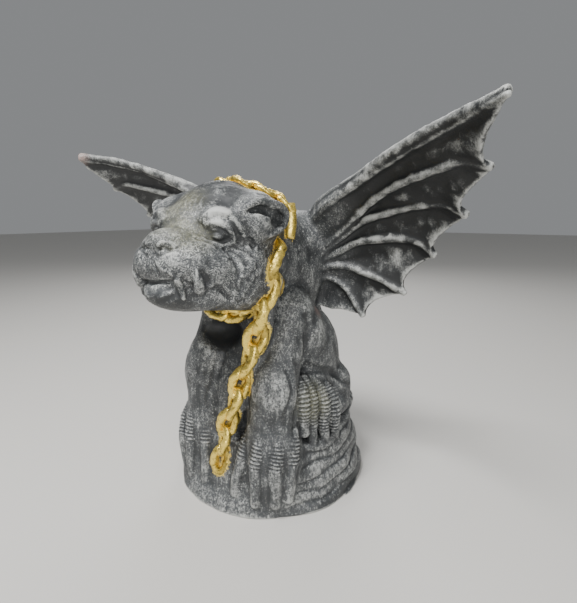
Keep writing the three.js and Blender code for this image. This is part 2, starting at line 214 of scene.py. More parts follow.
class Clay:
    """A block of voxels that hold their distance to the sculpted surface, in millimetres.

    A tool works on both sides of the middle plane unless it is told not to, in a frame that
    may be turned. The right side may be set in towards the middle plane, as the maker's eye
    was not exact.
    """

    # What a voxel holds before any clay comes near it.
    EMPTY = 14.0

    def __init__(self, low, high, voxel):
        self.voxel = voxel
        self.first = np.floor(np.array(low) / voxel).astype(int)
        self.shape = np.ceil(np.array(high) / voxel).astype(int) - self.first + 1
        self.field = np.full(self.shape, self.EMPTY, np.float32)
        self.inset = 0.0
        self.turn(0)

    def turn(self, angle, pivot=(0, 0, 0)):
        """Works from here on in a frame turned about an upright axis."""
        self.spin = np.array(Euler((0, 0, angle)).to_matrix())
        self.pivot = np.array(pivot, float)

    def on_side(self, points, side):
        """Places given for the left side, or their counterparts on the right."""
        return np.array(points, float) * (side, 1, 1) + (self.inset * (side < 0), 0, 0)

    def to_block(self, points):
        """Places in the turned frame, as places in the block."""
        return (np.array(points, float) - self.pivot) @ self.spin.T + self.pivot

    def from_block(self, points):
        """Places in the block, as places in the turned frame."""
        return (np.array(points, float) - self.pivot) @ self.spin + self.pivot

    def window(self, low, high):
        """The part of the block that holds a box, and the places of its voxels."""
        corners = self.to_block([
            (x, y, z) for x in (low[0], high[0]) for y in (low[1], high[1])
            for z in (low[2], high[2])])
        start = np.floor(corners.min(0) / self.voxel).astype(int) - self.first
        stop = np.ceil(corners.max(0) / self.voxel).astype(int) - self.first + 1
        start, stop = np.clip(start, 0, self.shape), np.clip(stop, 0, self.shape)
        axes = [((self.first[i] + np.arange(start[i], stop[i])) * self.voxel).astype(
            np.float32) for i in range(3)]
        x, y, z = np.meshgrid(*axes, indexing="ij", sparse=True)
        x, y = x - self.pivot[0], y - self.pivot[1]
        cos, sin = self.spin[0, 0], self.spin[1, 0]
        x, y = cos * x + sin * y + self.pivot[0], cos * y - sin * x + self.pivot[1]
        part = tuple(slice(a, b) for a, b in zip(start, stop))
        return part, (x.astype(np.float32), y.astype(np.float32), z)

    def merge(self, part, distance, blend, cut=False):
        """Joins a shape to the clay, or cuts it away, with the edge between them rounded."""
        if cut:
            self.field[part] = -smooth_min(-self.field[part], distance, blend)
        else:
            self.field[part] = smooth_min(self.field[part], distance, blend)

    def ball(self, centre, half, turn=(0, 0, 0), blend=6.0, cut=False, both=True):
        """Adds a stretched ball, or cuts it away; angles in degrees."""
        half = np.array(half, float)
        for side in sides(both and abs(centre[0]) > ON_MIDDLE):
            tilt = np.radians([turn[0], side * turn[1], side * turn[2]])
            axes = np.array(Euler(tilt).to_matrix())
            middle = self.on_side(centre, side)
            reach = np.sqrt(((axes * half) ** 2).sum(1)) + max(blend, 10)
            part, (x, y, z) = self.window(middle - reach, middle + reach)
            x, y, z = x - middle[0], y - middle[1], z - middle[2]
            near = far = 0
            for axis, size in zip(axes.T, half):
                place = (x * axis[0] + y * axis[1] + z * axis[2]) / size
                near = near + place ** 2
                far = far + (place / size) ** 2
            near, far = np.sqrt(near), np.sqrt(far)
            distance = near * (near - 1) / np.maximum(far, 1e-6)
            self.merge(part, distance.astype(np.float32), blend, cut)

    def strokes(self, path, reach):
        """The window round a path, and the distance and place along it of each voxel."""
        part, (x, y, z) = self.window(path.min(0) - reach, path.max(0) + reach)
        shape = self.field[part].shape
        best = np.full(shape, 1e6, np.float32)
        along = np.zeros(shape, np.float32)
        last = len(path) - 1
        for i in range(last):
            start, step = path[i], path[i + 1] - path[i]
            away = [axis - place for axis, place in zip((x, y, z), start)]
            share = away[0] * step[0] + away[1] * step[1] + away[2] * step[2]
            share = np.clip(share / max(float(step @ step), 1e-9), 0, 1)
            gap = sum((part_away - share * part_step) ** 2
                      for part_away, part_step in zip(away, step))
            nearer = gap < best
            best = np.where(nearer, gap, best)
            along = np.where(nearer, (i + share) / last, along)
        return part, np.sqrt(best), along

    def limb(self, points, radii, blend=5.0, steps=0, rings=None, cut=False, both=True):
        """Adds a round limb along a smooth path, swelling and thinning by its radii.

        rings is (pitch, height, from, to): knuckle rings between two places along it.
        """
        count = steps or 4 * (len(points) - 1) + 1
        for side in sides(both and max(abs(place[0]) for place in points) > ON_MIDDLE):
            path = catmull(self.on_side(points, side), count)
            part, distance, along = self.strokes(path, max(radii) + max(blend, 4))
            places = np.linspace(0, 1, len(radii))
            radius = np.interp(along, places, radii)
            if rings:
                pitch, height, begin, end = rings
                length = np.linalg.norm(np.diff(path, axis=0), axis=1).sum()
                fade = smoothstep(begin - 0.04, begin + 0.04, along)
                fade = fade * (1 - smoothstep(end - 0.04, end + 0.04, along))
                radius = radius + height * fade * np.sin(along * length * 2 * math.pi / pitch)
            self.merge(part, (distance - radius).astype(np.float32), blend, cut)

    def value(self, points):
        """The clay's distance at places in the block."""
        place = np.clip(points / self.voxel - self.first, 0, self.shape - 1.001)
        return between(self.field, place)

    def snap(self, points):
        """The places on the surface nearest to the points, near enough."""
        points = self.to_block(points)
        for _ in range(5):
            slope = np.stack([
                self.value(points + step) - self.value(points - step)
                for step in np.eye(3) * self.voxel], 1)
            slope /= np.maximum(np.linalg.norm(slope, axis=1, keepdims=True), 1e-6)
            points = points - np.clip(self.value(points), -6, 6)[:, None] * slope
        return self.from_block(points)

    def line(self, points, width, height, both=True):
        """Raises a ridge on the surface along a path, or presses in a groove.

        height is above 0 for a ridge and below 0 for a groove. Both ends run out.
        """
        for side in sides(both):
            path = self.snap(catmull(self.on_side(points, side), 3 * len(points) + 1))
            part, distance, along = self.strokes(path, 2.2 * width)
            fade = np.sqrt(np.clip(4 * along * (1 - along), 0, 1))
            self.field[part] -= height * fade * np.exp(-(distance / width) ** 2)

    def flatten(self, height):
        """Cuts everything below a height away, flat."""
        z = (self.first[2] + np.arange(self.shape[2])) * self.voxel
        self.field = np.maximum(self.field, (height - z)[None, None, :].astype(np.float32))

    def lumps(self, rng, scale, height):
        """Uneven hand-made swellings, from a seeded lattice of heights."""
        close = np.nonzero(np.abs(self.field) < 4)
        place = (np.stack(close, 1) + self.first) * (self.voxel / scale)
        place -= np.floor(place.min(0))
        size = np.ceil(place.max(0)).astype(int) + 2
        swelling = height * between(rng.uniform(-1, 1, size), place, eased=True)
        self.field[close] += swelling.astype(np.float32)

    def add_mesh(self, mesh, blend):
        """Joins a closed mesh, in metres, to the clay."""
        mesh.calc_loop_triangles()
        faces = read_rows(mesh.loop_triangles, "vertices", 3, np.int32)
        grid = openvdb.FloatGrid.createLevelSetFromPolygons(
            read_rows(mesh.vertices, "co", 3) / MM, triangles=faces.astype(np.uint32),
            transform=openvdb.createLinearTransform(self.voxel), halfWidth=8.0)
        low, high = (np.array(corner) for corner in grid.evalActiveVoxelBoundingBox())
        low = np.maximum(low, self.first)
        high = np.minimum(high, self.first + self.shape - 1)
        shape = np.zeros(high - low + 1, np.float32)
        grid.copyToArray(shape, ijk=tuple(int(v) for v in low))
        part = tuple(slice(a, b) for a, b in zip(low - self.first, high - self.first + 1))
        self.merge(part, shape, blend)

    def to_mesh(self, name):
        """The surface as a mesh in metres, with its faces outward."""
        band = 3 * self.voxel
        grid = openvdb.FloatGrid(band)
        grid.copyFromArray(
            np.clip(self.field, -band, band), ijk=tuple(int(v) for v in self.first),
            tolerance=0.0)
        grid.transform = openvdb.createLinearTransform(self.voxel)
        points, triangles, quads = grid.convertToPolygons(isovalue=0.0, adaptivity=0.0)
        corners = np.concatenate([quads.ravel(), triangles.ravel()])
        starts = np.concatenate([
            np.arange(len(quads)) * 4, len(quads) * 4 + np.arange(len(triangles)) * 3])
        mesh = bpy.data.meshes.new(name)
        mesh.vertices.add(len(points))
        mesh.vertices.foreach_set("co", (points * MM).astype(np.float32).ravel())
        mesh.loops.add(len(corners))
        mesh.loops.foreach_set("vertex_index", corners.astype(np.int32))
        mesh.polygons.add(len(starts))
        mesh.polygons.foreach_set("loop_start", starts.astype(np.int32))
        mesh.update(calc_edges=True)
        mesh.validate()
        return mesh


# ------------------------------------------------------------------------ the rock
BASE_RADIUS = 96.0
BASE_SHIFT = -3.0
BASE_TAPER = 0.14
ROCK_HEIGHT = 58.0
# The height of one course, how far the courses are set back from the smooth front, and
# how far round from the middle of the front they begin, in radians.
COURSE = 10.5
SET_BACK = 2.6
COURSED_FROM = 0.5


def sculpt_rock(clay):
    """A low round drum, smooth in front and in rough slanting courses elsewhere."""
    reach = BASE_RADIUS + 4
    part, (x, y, z) = clay.window((-reach, -reach, -3), (reach, reach, ROCK_HEIGHT + 12))
    y = y - BASE_SHIFT
    angle = np.arctan2(x, -y)
    aside = np.abs(angle)
    height = (z + 3.0 * np.sin(2 * angle + 0.7) + 1.6 * np.sin(5 * angle + 1.9)
              + 1.3 * np.sin(11 * angle + 0.12 * z))
    course = height / COURSE
    step = course - np.floor(course)
    bulge = 1.4 * np.sin(math.pi * step) ** 0.7 * smoothstep(COURSED_FROM, 0.85, aside)
    facing = 1.3 * np.sin(7 * angle + 2.3 * np.floor(course))
    facing = facing * smoothstep(COURSED_FROM, 0.9, aside)
    outline = BASE_RADIUS * (1 - BASE_TAPER * np.clip(z, 0, None) / ROCK_HEIGHT) - SET_BACK
    outline = outline + SET_BACK * (1 - smoothstep(0.4, 0.8, aside))
    outline = outline - 7 * np.exp(-(angle / 0.4) ** 2) * smoothstep(0, 18, z)
    side = np.hypot(x, y) - outline - bulge - facing
    top = z - ROCK_HEIGHT - 5 * np.exp(-((x / 60) ** 2 + (y / 60) ** 2))
    worn_edge = 0.2 * np.clip(4 - np.maximum(-side, 0) - np.maximum(-top, 0), 0, 4)
    drum = np.maximum(side, top) + worn_edge
    clay.merge(part, drum.astype(np.float32), 4.0)


# ------------------------------------------------------------------------ the body
SPINE_KNOBS = 13


def sculpt_torso(clay):
    """Chest, belly, neck and back, with a knobbed spine and a ringed tail."""
    clay.ball((0, -20, 138), (44, 40, 64), blend=12)
    clay.ball((0, 9, 132), (48, 45, 72), (-8, 0, 0), blend=12)
    clay.ball((0, 38, 90), (45, 38, 48), blend=12)
    clay.ball((0, -30, 226), (45, 38, 50), (18, 0, 0), blend=12)
    clay.ball((0, 2, 212), (48, 34, 50), blend=12)
    clay.limb([(0, -4, 206), (0, -26, 219), (0, -50, 228), (0, -70, 232)], [50, 49, 47, 42], 12)
    clay.ball((0, -40, 88), (26, 36, 54), blend=10)
    clay.ball((26, 10, 226), (26, 24, 34), (0, 25, 0), blend=12)
    spine = [(0, 14, 252), (0, 34, 214), (0, 52, 165), (0, 68, 118), (0, 76, 78)]
    clay.limb(spine, [6, 8, 9, 9, 8], 8)
    for knob in catmull(spine, SPINE_KNOBS + 2)[1:-1]:
        clay.ball(knob + (0, 7, 0), (5.5, 5.5, 5.5), blend=5)
    # The tail, curled round the left hip and its mirror image round the right.
    clay.limb([(0, 70, 80), (26, 74, 68), (48, 64, 63), (62, 44, 63), (66, 28, 66)],
              [13, 10.5, 8.5, 6.5, 3], 5, steps=20, rings=(9, 0.7, 0.1, 0.9))


# The path of each toe, from its knuckle to the point of its claw.
FRONT_TOES = [
    [(27, -68, 74), (27, -75, 62), (25, -80, 47), (22, -84, 31), (21, -86, 16)],
    [(43, -75, 76), (43, -80, 62), (42, -83, 46), (42, -84, 28), (42, -84, 13)],
    [(56, -70, 74), (58, -74, 60), (58, -77, 46), (58, -77, 29), (57, -76, 14)],
    [(63, -58, 75), (65, -62, 62), (66, -65, 48), (66, -67, 34), (65, -68, 18)],
]
HIND_TOES = [
    [(58, -43, 116), (66, -47, 103), (67, -47, 84), (67, -46, 70)],
    [(60, -36, 115), (69, -39, 101), (70, -39, 80), (70, -37, 58)],
    [(63, -26, 111), (74, -27, 97), (75, -27, 74), (76, -25, 53)],
    [(66, -13, 105), (77, -14, 91), (79, -14, 68), (79, -12, 51)],
]
TOE_SWELLING = (0.7, 1.0, 1.0, 0.92, 0.84, 0.8)
CLAW_SWELLING = (1, 1, 1.1, 0.7)
TOE_STEPS = 40


def sculpt_foreleg(clay):
    """Shoulder, leg and paw, with sinews; the right knee bulges a little more."""
    clay.ball((42, -31, 168), (22, 24, 26), blend=8)
    clay.limb([(46, -34, 176), (44, -43, 150), (41, -53, 120), (42, -58, 88), (43, -60, 54)],
              [17, 18.5, 21.5, 22, 23], 6, steps=26)
    clay.ball((49, -65, 112), (15, 11, 18), blend=14)
    clay.ball((36, -50, 128), (17, 17, 16), blend=8)
    clay.ball((45, -64, 62), (24, 16, 20), (0, 0, 24), blend=7)
    clay.ball((45, -62, 38), (26, 22.5, 46), (0, 0, 22), blend=6)
    clay.ball((-32, -64, 128), (17, 12, 20), (0, 0, -20), blend=8, both=False)
    # Hollows between the sinews, and then the sinews.
    for path in (
            [(63, -54, 118), (66, -56, 98), (66, -60, 78), (65, -62, 62)],
            [(57, -64, 132), (61, -64, 116), (60, -68, 98), (62, -70, 84)],
            [(30, -66, 128), (28, -72, 108), (31, -76, 92), (30, -76, 80)]):
        clay.line(path, 1.8, -1.8)
    for path in (
            [(58, -48, 160), (57, -56, 140), (63, -58, 118), (64, -62, 96)],
            [(36, -62, 150), (35, -70, 126), (37, -78, 104)]):
        clay.line(path, 2.4, 1.3)


def sculpt_toes(clay, toes, radius, knuckle_share, pitch, claw):
    """Ribbed knuckles that end in smooth claws, side by side."""
    for toe in toes:
        clay.limb(toe, [radius * swelling for swelling in TOE_SWELLING], 1.5, steps=26,
                  rings=(pitch, 0.85, 0.06, knuckle_share))
        path = catmull(toe, TOE_STEPS)
        start = int(TOE_STEPS * knuckle_share)
        clay.limb(path[start::5], [claw * swelling for swelling in CLAW_SWELLING], 1.2)


def sculpt_hind_leg(clay):
    """The folded thigh, the heel and the foot, parted by deep creases."""
    clay.ball((51, -2, 130), (19, 29, 46), (24, 0, 0), blend=8)
    clay.ball((57, -21, 153), (12, 14, 20), (14, 0, 0), blend=6)
    clay.ball((60, 18, 90), (17, 21, 24), blend=7)
    clay.ball((66, 10, 76), (13, 18, 12), blend=5)
    clay.ball((58, -28, 92), (16, 27, 25), (-6, 0, 0), blend=5)
    clay.ball((60, -6, 50), (22, 38, 14), blend=5)
    # The fold between thigh and foot, and the crease at the front of the thigh.
    clay.line([(60, -33, 126), (65, -18, 120), (70, 0, 111), (76, 14, 99), (77, 24, 92)],
              3.2, -4.0)
    clay.line([(62, -30, 118), (68, -16, 112), (74, 0, 103), (78, 10, 92)], 2.6, 1.6)
    clay.line([(60, -40, 176), (64, -38, 158), (62, -37, 140), (60, -36, 122)], 3.2, -4.0)
    clay.line([(68, -2, 142), (72, 8, 126), (74, 12, 112)], 2.4, -1.4)


# ------------------------------------------------------------------------ the head
def sculpt_skull(clay):
    """Crown, cheeks, muzzle and jaw."""
    # Crown and cheeks.
    clay.ball((0, -62, 236), (46, 46, 44), blend=10)
    clay.ball((0, -94, 245), (36, 31, 25), blend=10)
    clay.ball((0, -76, 260), (32, 27, 22), (-8, 0, 0), blend=10)
    clay.ball((31, -82, 214), (22, 34, 30), (0, 0, 8), blend=12)
    # Muzzle and its bridge, then the lower jaw and chin.
    clay.ball((0, -116, 222), (30, 33, 25), blend=9)
    clay.ball((0, -127, 236), (16, 19, 10), (-6, 0, 0), blend=8)
    clay.ball((0, -112, 199), (27, 38, 15), (-7, 0, 0), blend=7)
    clay.ball((0, -131, 201), (20, 19, 9), blend=7)
    clay.ball((28, -96, 200), (16, 26, 14), (0, 0, 12), blend=8)
    # Brow, and the fullness behind the upper and the lower lip.
    clay.ball((29, -106, 250), (14, 11, 9), (0, 15, 30), blend=8)
    clay.ball((21, -128, 222), (14, 16, 14), blend=10)
    clay.ball((29, -115, 216), (13, 17, 15), blend=8)
    clay.ball((22, -117, 200), (14, 20, 11), blend=7)


def sculpt_nose(clay):
    """A broad nose with rolled nostrils over two lip pads."""
    clay.ball((0, -137, 237), (14, 12, 9), blend=5)
    clay.ball((10, -137.5, 223), (14, 14, 12), (0, 0, -12), blend=7)
    # Nostril and its rolled wing, the cleft between the pads, and the crease above a pad.
    clay.limb([(5, -148, 234), (8.5, -149, 235.5), (12, -146, 233.5)], [0.8, 1.5, 0.8], 1.5,
              cut=True)
    clay.line([(3.5, -149, 236), (8, -148, 239), (13, -144, 237), (15, -142, 232)], 2.0, 1.6)
    clay.line([(0, -149, 233), (2.5, -149, 227), (5, -148, 222), (7, -148, 218)], 1.1, -0.8,
              both=False)
    clay.line([(3, -150, 229), (8, -148, 230), (13, -145, 231), (16, -142, 235)], 1.4, -1.2)


def sculpt_mouth(clay):
    """A long wavy mouth with a fang over the lower lip and a tusk over the upper one."""
    lips = clay.snap([
        (-26, -125, 208), (-20, -137, 210), (-11, -146, 211), (-5, -149, 210.5),
        (6.5, -148.5, 211.5), (16, -144.5, 213), (22, -140, 211), (28, -134, 207.5),
        (34, -129, 207.5), (38, -122, 202.5)])
    clay.limb(lips, [0.6, 1.1, 1.7, 1.9, 1.6, 1.3, 1.2, 1.0, 1.0, 0.5], 1.2, steps=46, cut=True,
              both=False)
    # The fold behind the corner, the rolled lower lip, and the folds round the teeth.
    clay.line([(36, -131, 209), (39, -126, 205), (41, -122, 200), (41.5, -118, 196)], 1.6, -2.6)
    clay.line([(21, -143, 205), (27, -139, 205.5), (33, -134, 207.5), (37, -130, 208)], 1.4, 1.6)
    clay.line([(3, -151, 201), (10, -149, 204), (16, -146, 208)], 1.3, 1.3)
    clay.line([(2, -152, 198), (10, -149, 200.5), (17, -145, 204)], 1.3, -1.2)
    clay.line([(-1, -150, 233), (4, -151, 226), (10, -151, 221), (17, -150, 217)], 1.2, 1.3,
              both=False)
    clay.line([(34, -141, 219), (37, -138, 214), (35, -136, 209)], 1.3, -1.8)
    clay.line([(15, -151, 221), (17, -150, 216.5), (21, -148, 216), (24, -147, 220)], 1.2, 1.2)
    fang = clay.snap([(17.5, -144, 216), (17.5, -143, 208), (18.5, -142, 201)])
    clay.limb(fang - (0, 0.6, 0), [3.0, 2.9, 2.0], 1.0)
    tusk = clay.snap([(27.5, -136, 208), (28.5, -137.5, 214), (28.5, -139, 221)])
    clay.limb(tusk - (0, 0.8, 0), [4.0, 3.1, 0.9], 1.0)


def sculpt_eye(clay):
    """A small deep-set eye under a heavy brow, between folded lids."""
    clay.ball((28, -121.5, 242), (6.5, 3.2, 3.6), (0, 0, 35), blend=3, cut=True)
    clay.ball((28, -115, 241.5), (4.4, 3.6, 2.8), blend=1.5)
    # The brow and its outer end, with the groove below them.
    clay.line([(19, -121, 250), (22, -119, 255), (27, -113, 259), (32, -111.5, 258),
               (36, -111, 255)], 3.4, 3.2)
    clay.line([(34, -112, 258), (38, -110, 254), (42, -108, 249), (44, -103, 243),
               (46, -97, 238)], 1.9, 2.8)
    clay.line([(31, -116, 255), (35, -115, 253.5), (39, -112, 249), (40, -108, 243),
               (41, -103, 238), (44, -99, 236), (48, -93, 234.5)], 1.5, -3.0)
    # The fold of the upper lid, the groove in it and the lid's own edge.
    clay.line([(20, -121, 249), (26, -119, 250.5), (32, -116.5, 250), (36.5, -113, 246),
               (39, -107, 240)], 1.6, 2.6)
    clay.line([(23, -120, 247), (29, -118, 248), (34, -115, 245), (37, -110, 241)], 1.0, -1.4)
    clay.line([(25, -119, 246.5), (31, -117, 246), (35, -113, 243), (38, -107, 238.5)], 1.0, 1.2)
    # The lower lid and the groove above it.
    clay.line([(20, -124, 241), (23, -123, 237.5), (27, -119, 235.5), (31, -115, 235),
               (34, -111, 236), (38, -107, 238)], 1.4, 2.6)
    clay.line([(22, -121, 240.5), (25, -119, 238), (29, -115.5, 237.3), (33, -112, 237.5)],
              1.0, -1.6)
    # Short strokes of hair up the brow.
    for i in range(6):
        clay.line([(21.5 + 2.6 * i, -120 + 1.2 * i, 252.5 - 0.1 * i),
                   (23 + 2.6 * i, -117.5 + 1.0 * i, 257.5 - 0.1 * i)], 1.1, -2.4)


def sculpt_wrinkles(clay):
    """Creases under the eye, beside the bridge, between the brows and over the crown."""
    for crease in (
            [(38, -106, 238), (42, -103, 237.5), (46, -100, 236), (50, -98, 233)],
            [(36, -109, 234.5), (41, -106, 233), (45, -103, 230.5), (49, -101, 226.5)],
            [(34, -112, 231.5), (39, -109, 228.5), (43, -107, 224.5), (46, -106, 219.5)],
            [(30, -116, 230), (34, -114, 225.5), (38, -112, 220), (41, -111, 214)]):
        clay.line(crease, 1.6, -3.2)
    clay.line([(19, -130, 239.5), (23, -127, 236), (26, -121, 234)], 1.1, -1.3)
    clay.line([(19, -130, 237), (23, -128, 233), (28, -122, 230)], 1.1, 1.0)
    clay.line([(20, -130, 234), (25, -126, 229), (31, -121, 224), (34, -118, 219)], 1.6, 0.9)
    for frown in (
            [(-4, -108, 269), (-1, -114, 265), (3, -119, 260)],
            [(-1, -104, 271), (2, -112, 266), (6, -118, 261)],
            [(3, -103, 271), (5, -110, 266), (9, -116, 261)],
            [(8, -101, 271), (9, -108, 266), (13, -114, 261)]):
        clay.line(frown, 1.0, 1.1)
    for i in range(5):
        clay.line([(2 + 3 * i, -98 + 2.5 * i, 280), (9 + 4 * i, -85 + 2 * i, 282),
                   (17 + 4 * i, -72 + i, 282), (26 + 3 * i, -58, 278)], 1.2, -1.1)


def sculpt_ear(clay):
    """A folded ear: a raised rim round a deep hollow that opens forward and outward."""
    clay.ball((37, -76, 259), (15, 27, 13), (0, 22, 14), blend=12)
    clay.ball((44, -80, 247), (10, 20, 12), (0, 0, 12), blend=9)
    rim = [(43, -104, 259), (46, -101, 263), (49, -95, 266), (51, -88, 266), (54, -81, 264.5),
           (56, -73, 262), (56, -66, 257), (55, -66, 250), (56, -75, 245), (54, -87, 241)]
    clay.limb([(44, -103, 259), (47, -101, 260), (50.5, -95, 261), (53, -89, 260), (55, -82, 257)],
              [0.8, 3.0, 4.4, 4.8, 3.6], 1.5, steps=20, cut=True)
    clay.ball((58, -80, 253), (6, 10, 6.5), (0, 0, 20), blend=3, cut=True)
    clay.limb(rim, [0.6, 1.7, 2.3, 2.6, 2.8, 3.0, 3.0, 2.6, 2.2, 1.0], 3.0, steps=42)
    clay.line([(46, -84, 271), (49, -75, 272), (51, -67, 269)], 1.1, 1.3)
    clay.line([(42, -85, 271), (45, -76, 273), (48, -67, 272)], 1.1, -1.1)


def sculpt_chest_hollow(clay):
    """The deep hollow in the chest between the forelegs."""
    clay.ball((-12, -65, 153), (20, 19, 14), blend=7, cut=True, both=False)


def sculpt_chain_bed(clay):
    """The low bank of stone that the hanging chain is moulded on."""
    clay.limb([(x, y + 9, z) for x, y, z in LEASH[1:]], [6, 7, 7, 6, 5], 6, both=False)
    clay.limb([(x, y + 8, z) for x, y, z in THROAT], [6, 7, 7, 6], 6, both=False)


FUR_STROKES = 170


def sculpt_fur(clay, rng):
    """Short carved strokes on the cheeks."""
    for _ in range(FUR_STROKES):
        y, z = rng.uniform(-122, -66), rng.uniform(194, 232)
        lean = rng.uniform(-1.2, 1.2) + 0.5
        length = rng.uniform(2.5, 5)
        dy, dz = length * math.cos(lean), -length * math.sin(lean)
        x = 42 + 0.12 * (y + 122)
        clay.line([(x, y, z), (x, y + dy / 2, z + dz / 2 + 0.8), (x, y + dy, z + dz)],
                  0.9, rng.choice((-0.8, 0.7)))


# ----------------------------------------------------------------------- the wings
# From the top edge of the arm down to the last finger, each from root to tip.
WING_FINGERS = [
    [(40, 8, 258), (62, -6, 271), (93, -13, 285), (127, -31, 299), (164, -48, 311),
     (186, -62, 315), (207, -79, 318)],
    [(42, 4, 250), (63, -12, 262), (86, -16, 275), (117, -24, 290), (149, -38, 303),
     (180, -56, 311), (208, -83, 315)],
    [(50, 8, 225), (75, 4, 244), (101, -3, 265), (125, -13, 277), (151, -25, 284),
     (177, -34, 290), (196, -35, 285)],
    [(48, 10, 220), (68, 8, 235), (93, 5, 251), (117, 2, 258), (141, -1, 263),
     (161, -4, 264), (178, -5, 256)],
    [(45, 13, 213), (65, 12, 223), (84, 12, 232), (104, 12, 236), (124, 12, 237),
     (140, 13, 234), (152, 15, 224)],
    [(45, 14, 207), (58, 15, 210), (73, 17, 210), (88, 18, 206), (103, 19, 201),
     (116, 21, 195), (127, 24, 189)],
    [(42, 16, 200), (51, 18, 199), (61, 20, 195), (69, 22, 189), (75, 24, 181),
     (81, 25, 172), (87, 26, 163)],
    [(20, 17, 176), (27, 18, 174), (33, 20, 172), (38, 21, 171), (43, 22, 169),
     (48, 24, 167), (53, 25, 166)],
]
# How deep the free edge is scooped between one finger and the next.
SCALLOPS = (3, 12, 13, 12, 12, 10, 2)
# Each rib's half thickness at its root and at its tip.
RIB_RADII = ((3.8, 2.8), (1.9, 1.8), (2.8, 3.0), (3.0, 3.0), (3.0, 2.9), (3.0, 2.7), (2.6, 2.5))
WING_STEPS = 44
# How far across a bay each row of the skin lies; close together by the rib, where it turns.
BAY_ROWS = (0.0, 0.04, 0.08, 0.13, 0.2, 0.3, 0.42, 0.55, 0.68, 0.8, 0.91)


def wing_grid():
    """Places on the wing skin and its half thickness, finger by finger and root to tip."""
    curves = [catmull(finger, WING_STEPS) for finger in WING_FINGERS]
    along = np.linspace(0, 1, WING_STEPS)
    rows, halves = [], []
    for bay in range(len(curves) - 1):
        upper, lower = curves[bay], curves[bay + 1]
        inward = (upper[0] + lower[0] - upper[-1] - lower[-1]) / 2
        inward /= np.linalg.norm(inward)
        for share in BAY_ROWS if bay < len(curves) - 2 else BAY_ROWS + (1.0,):
            dip = 4 * share * (1 - share)
            place = upper * (1 - share) + lower * share
            place += inward * (SCALLOPS[bay] * dip * along ** 3)[:, None]
            if bay == 0:
                half = (4.6 - 2.4 * along) * (0.75 + 0.25 * dip)
            else:
                relief = smoothstep(0, 0.14, share) * (1 - share) ** 1.2
                depth = 7.0 * smoothstep(0.05, 0.4, along) * (1 - 0.35 * along)
                place[:, 1] += relief * depth + 3.0 * dip * np.sin(math.pi * along)
                half = 2.8 - 0.6 * smoothstep(0.8, 1.0, along)
            rows.append(place)
            halves.append(np.broadcast_to(half, along.shape))
    return np.array(rows), np.array(halves)


def wing_skin():
    """The skin of the left wing as a closed mesh."""
    middle, half = wing_grid()
    count, steps = half.shape
    across = np.gradient(middle, axis=0)
    offset = np.cross(np.gradient(middle, axis=1), across)
    offset /= np.maximum(np.linalg.norm(offset, axis=2, keepdims=True), 1e-6)
    offset = offset * np.sign(offset[..., 1:2] + 1e-9) + (0, 1.2, 0)
    offset *= half[..., None] / np.linalg.norm(offset, axis=2, keepdims=True)
    points = np.concatenate([(middle - offset).reshape(-1, 3), (middle + offset).reshape(-1, 3)])
    number = np.arange(count * steps).reshape(count, steps)
    near, far = number[:, :-1], number[:, 1:]
    quads = [corner.ravel() for corner in (near[:-1], near[1:], far[1:], far[:-1])]
    back = count * steps
    faces = np.concatenate([np.stack(quads, 1), np.stack(quads[::-1], 1) + back])
    rim = np.concatenate([
        number[:, 0], number[-1, 1:], number[-2::-1, -1], number[0, -2:0:-1]])
    after = np.roll(rim, -1)
    faces = np.concatenate([faces, np.stack([rim, rim + back, after + back, after], 1)])
    mesh = bpy.data.meshes.new("wing_skin")
    mesh.from_pydata((points * MM).tolist(), [], faces.tolist())
    return mesh


def add_inputs(tree, kind, *names):
    """Adds named inputs to a node group."""
    for name in names:
        tree.interface.new_socket(name, in_out="INPUT", socket_type="NodeSocket" + kind)


def add_node(tree, kind, *links, **values):
    """Adds a node; links are (input's name or number, what feeds it).

    What feeds it is a plain value, an output socket, or a node, whose first output is taken.
    """
    node = tree.nodes.new(kind)
    for name, value in values.items():
        setattr(node, name, value)
    for key, value in links:
        if isinstance(value, bpy.types.Node):
            value = value.outputs[0]
        if isinstance(value, bpy.types.NodeSocket):
            tree.links.new(value, node.inputs[key])
        else:
            node.inputs[key].default_value = value
    return node


def calculate(tree, operation, a, b=0.0, c=0.0):
    """The result of a maths node."""
    return add_node(
        tree, "ShaderNodeMath", (0, a), (1, b), (2, c), operation=operation).outputs[0]


def new_geometry_tree(name):
    tree = bpy.data.node_groups.new(name, "GeometryNodeTree")
    tree.interface.new_socket("Geometry", in_out="INPUT", socket_type="NodeSocketGeometry")
    tree.interface.new_socket("Geometry", in_out="OUTPUT", socket_type="NodeSocketGeometry")
    return tree


def run_nodes(source, tree, inputs, name):
    """Runs a node group on an object, which it removes, and returns the result as a mesh."""
    modifier = source.modifiers.new("nodes", "NODES")
    modifier.node_group = tree
    for item in tree.interface.items_tree:
        if item.in_out == "INPUT" and item.name in inputs:
            modifier[item.identifier] = inputs[item.name]
    graph = bpy.context.evaluated_depsgraph_get()
    graph.update()
    mesh = bpy.data.meshes.new_from_object(source.evaluated_get(graph))
    mesh.name = name
    source.modifiers.remove(modifier)
    bpy.data.objects.remove(source, do_unlink=True)
    return mesh


def curve_object(name, paths, radii):
    """A construction curve with one spline for each path, which run_nodes takes away."""
    curve = bpy.data.curves.new(name, "CURVE")
    curve.dimensions = "3D"
    for path, (first, last) in zip(paths, radii):
        spline = curve.splines.new("POLY")
        spline.points.add(len(path) - 1)
        for i, place in enumerate(path):
            share = i / (len(path) - 1)
            spline.points[i].co = (*(np.array(place) * MM), 1)
            spline.points[i].radius = (first + (last - first) * share) * MM
    holder = bpy.data.objects.new(name, curve)
    bpy.context.scene.collection.objects.link(holder)
    return holder


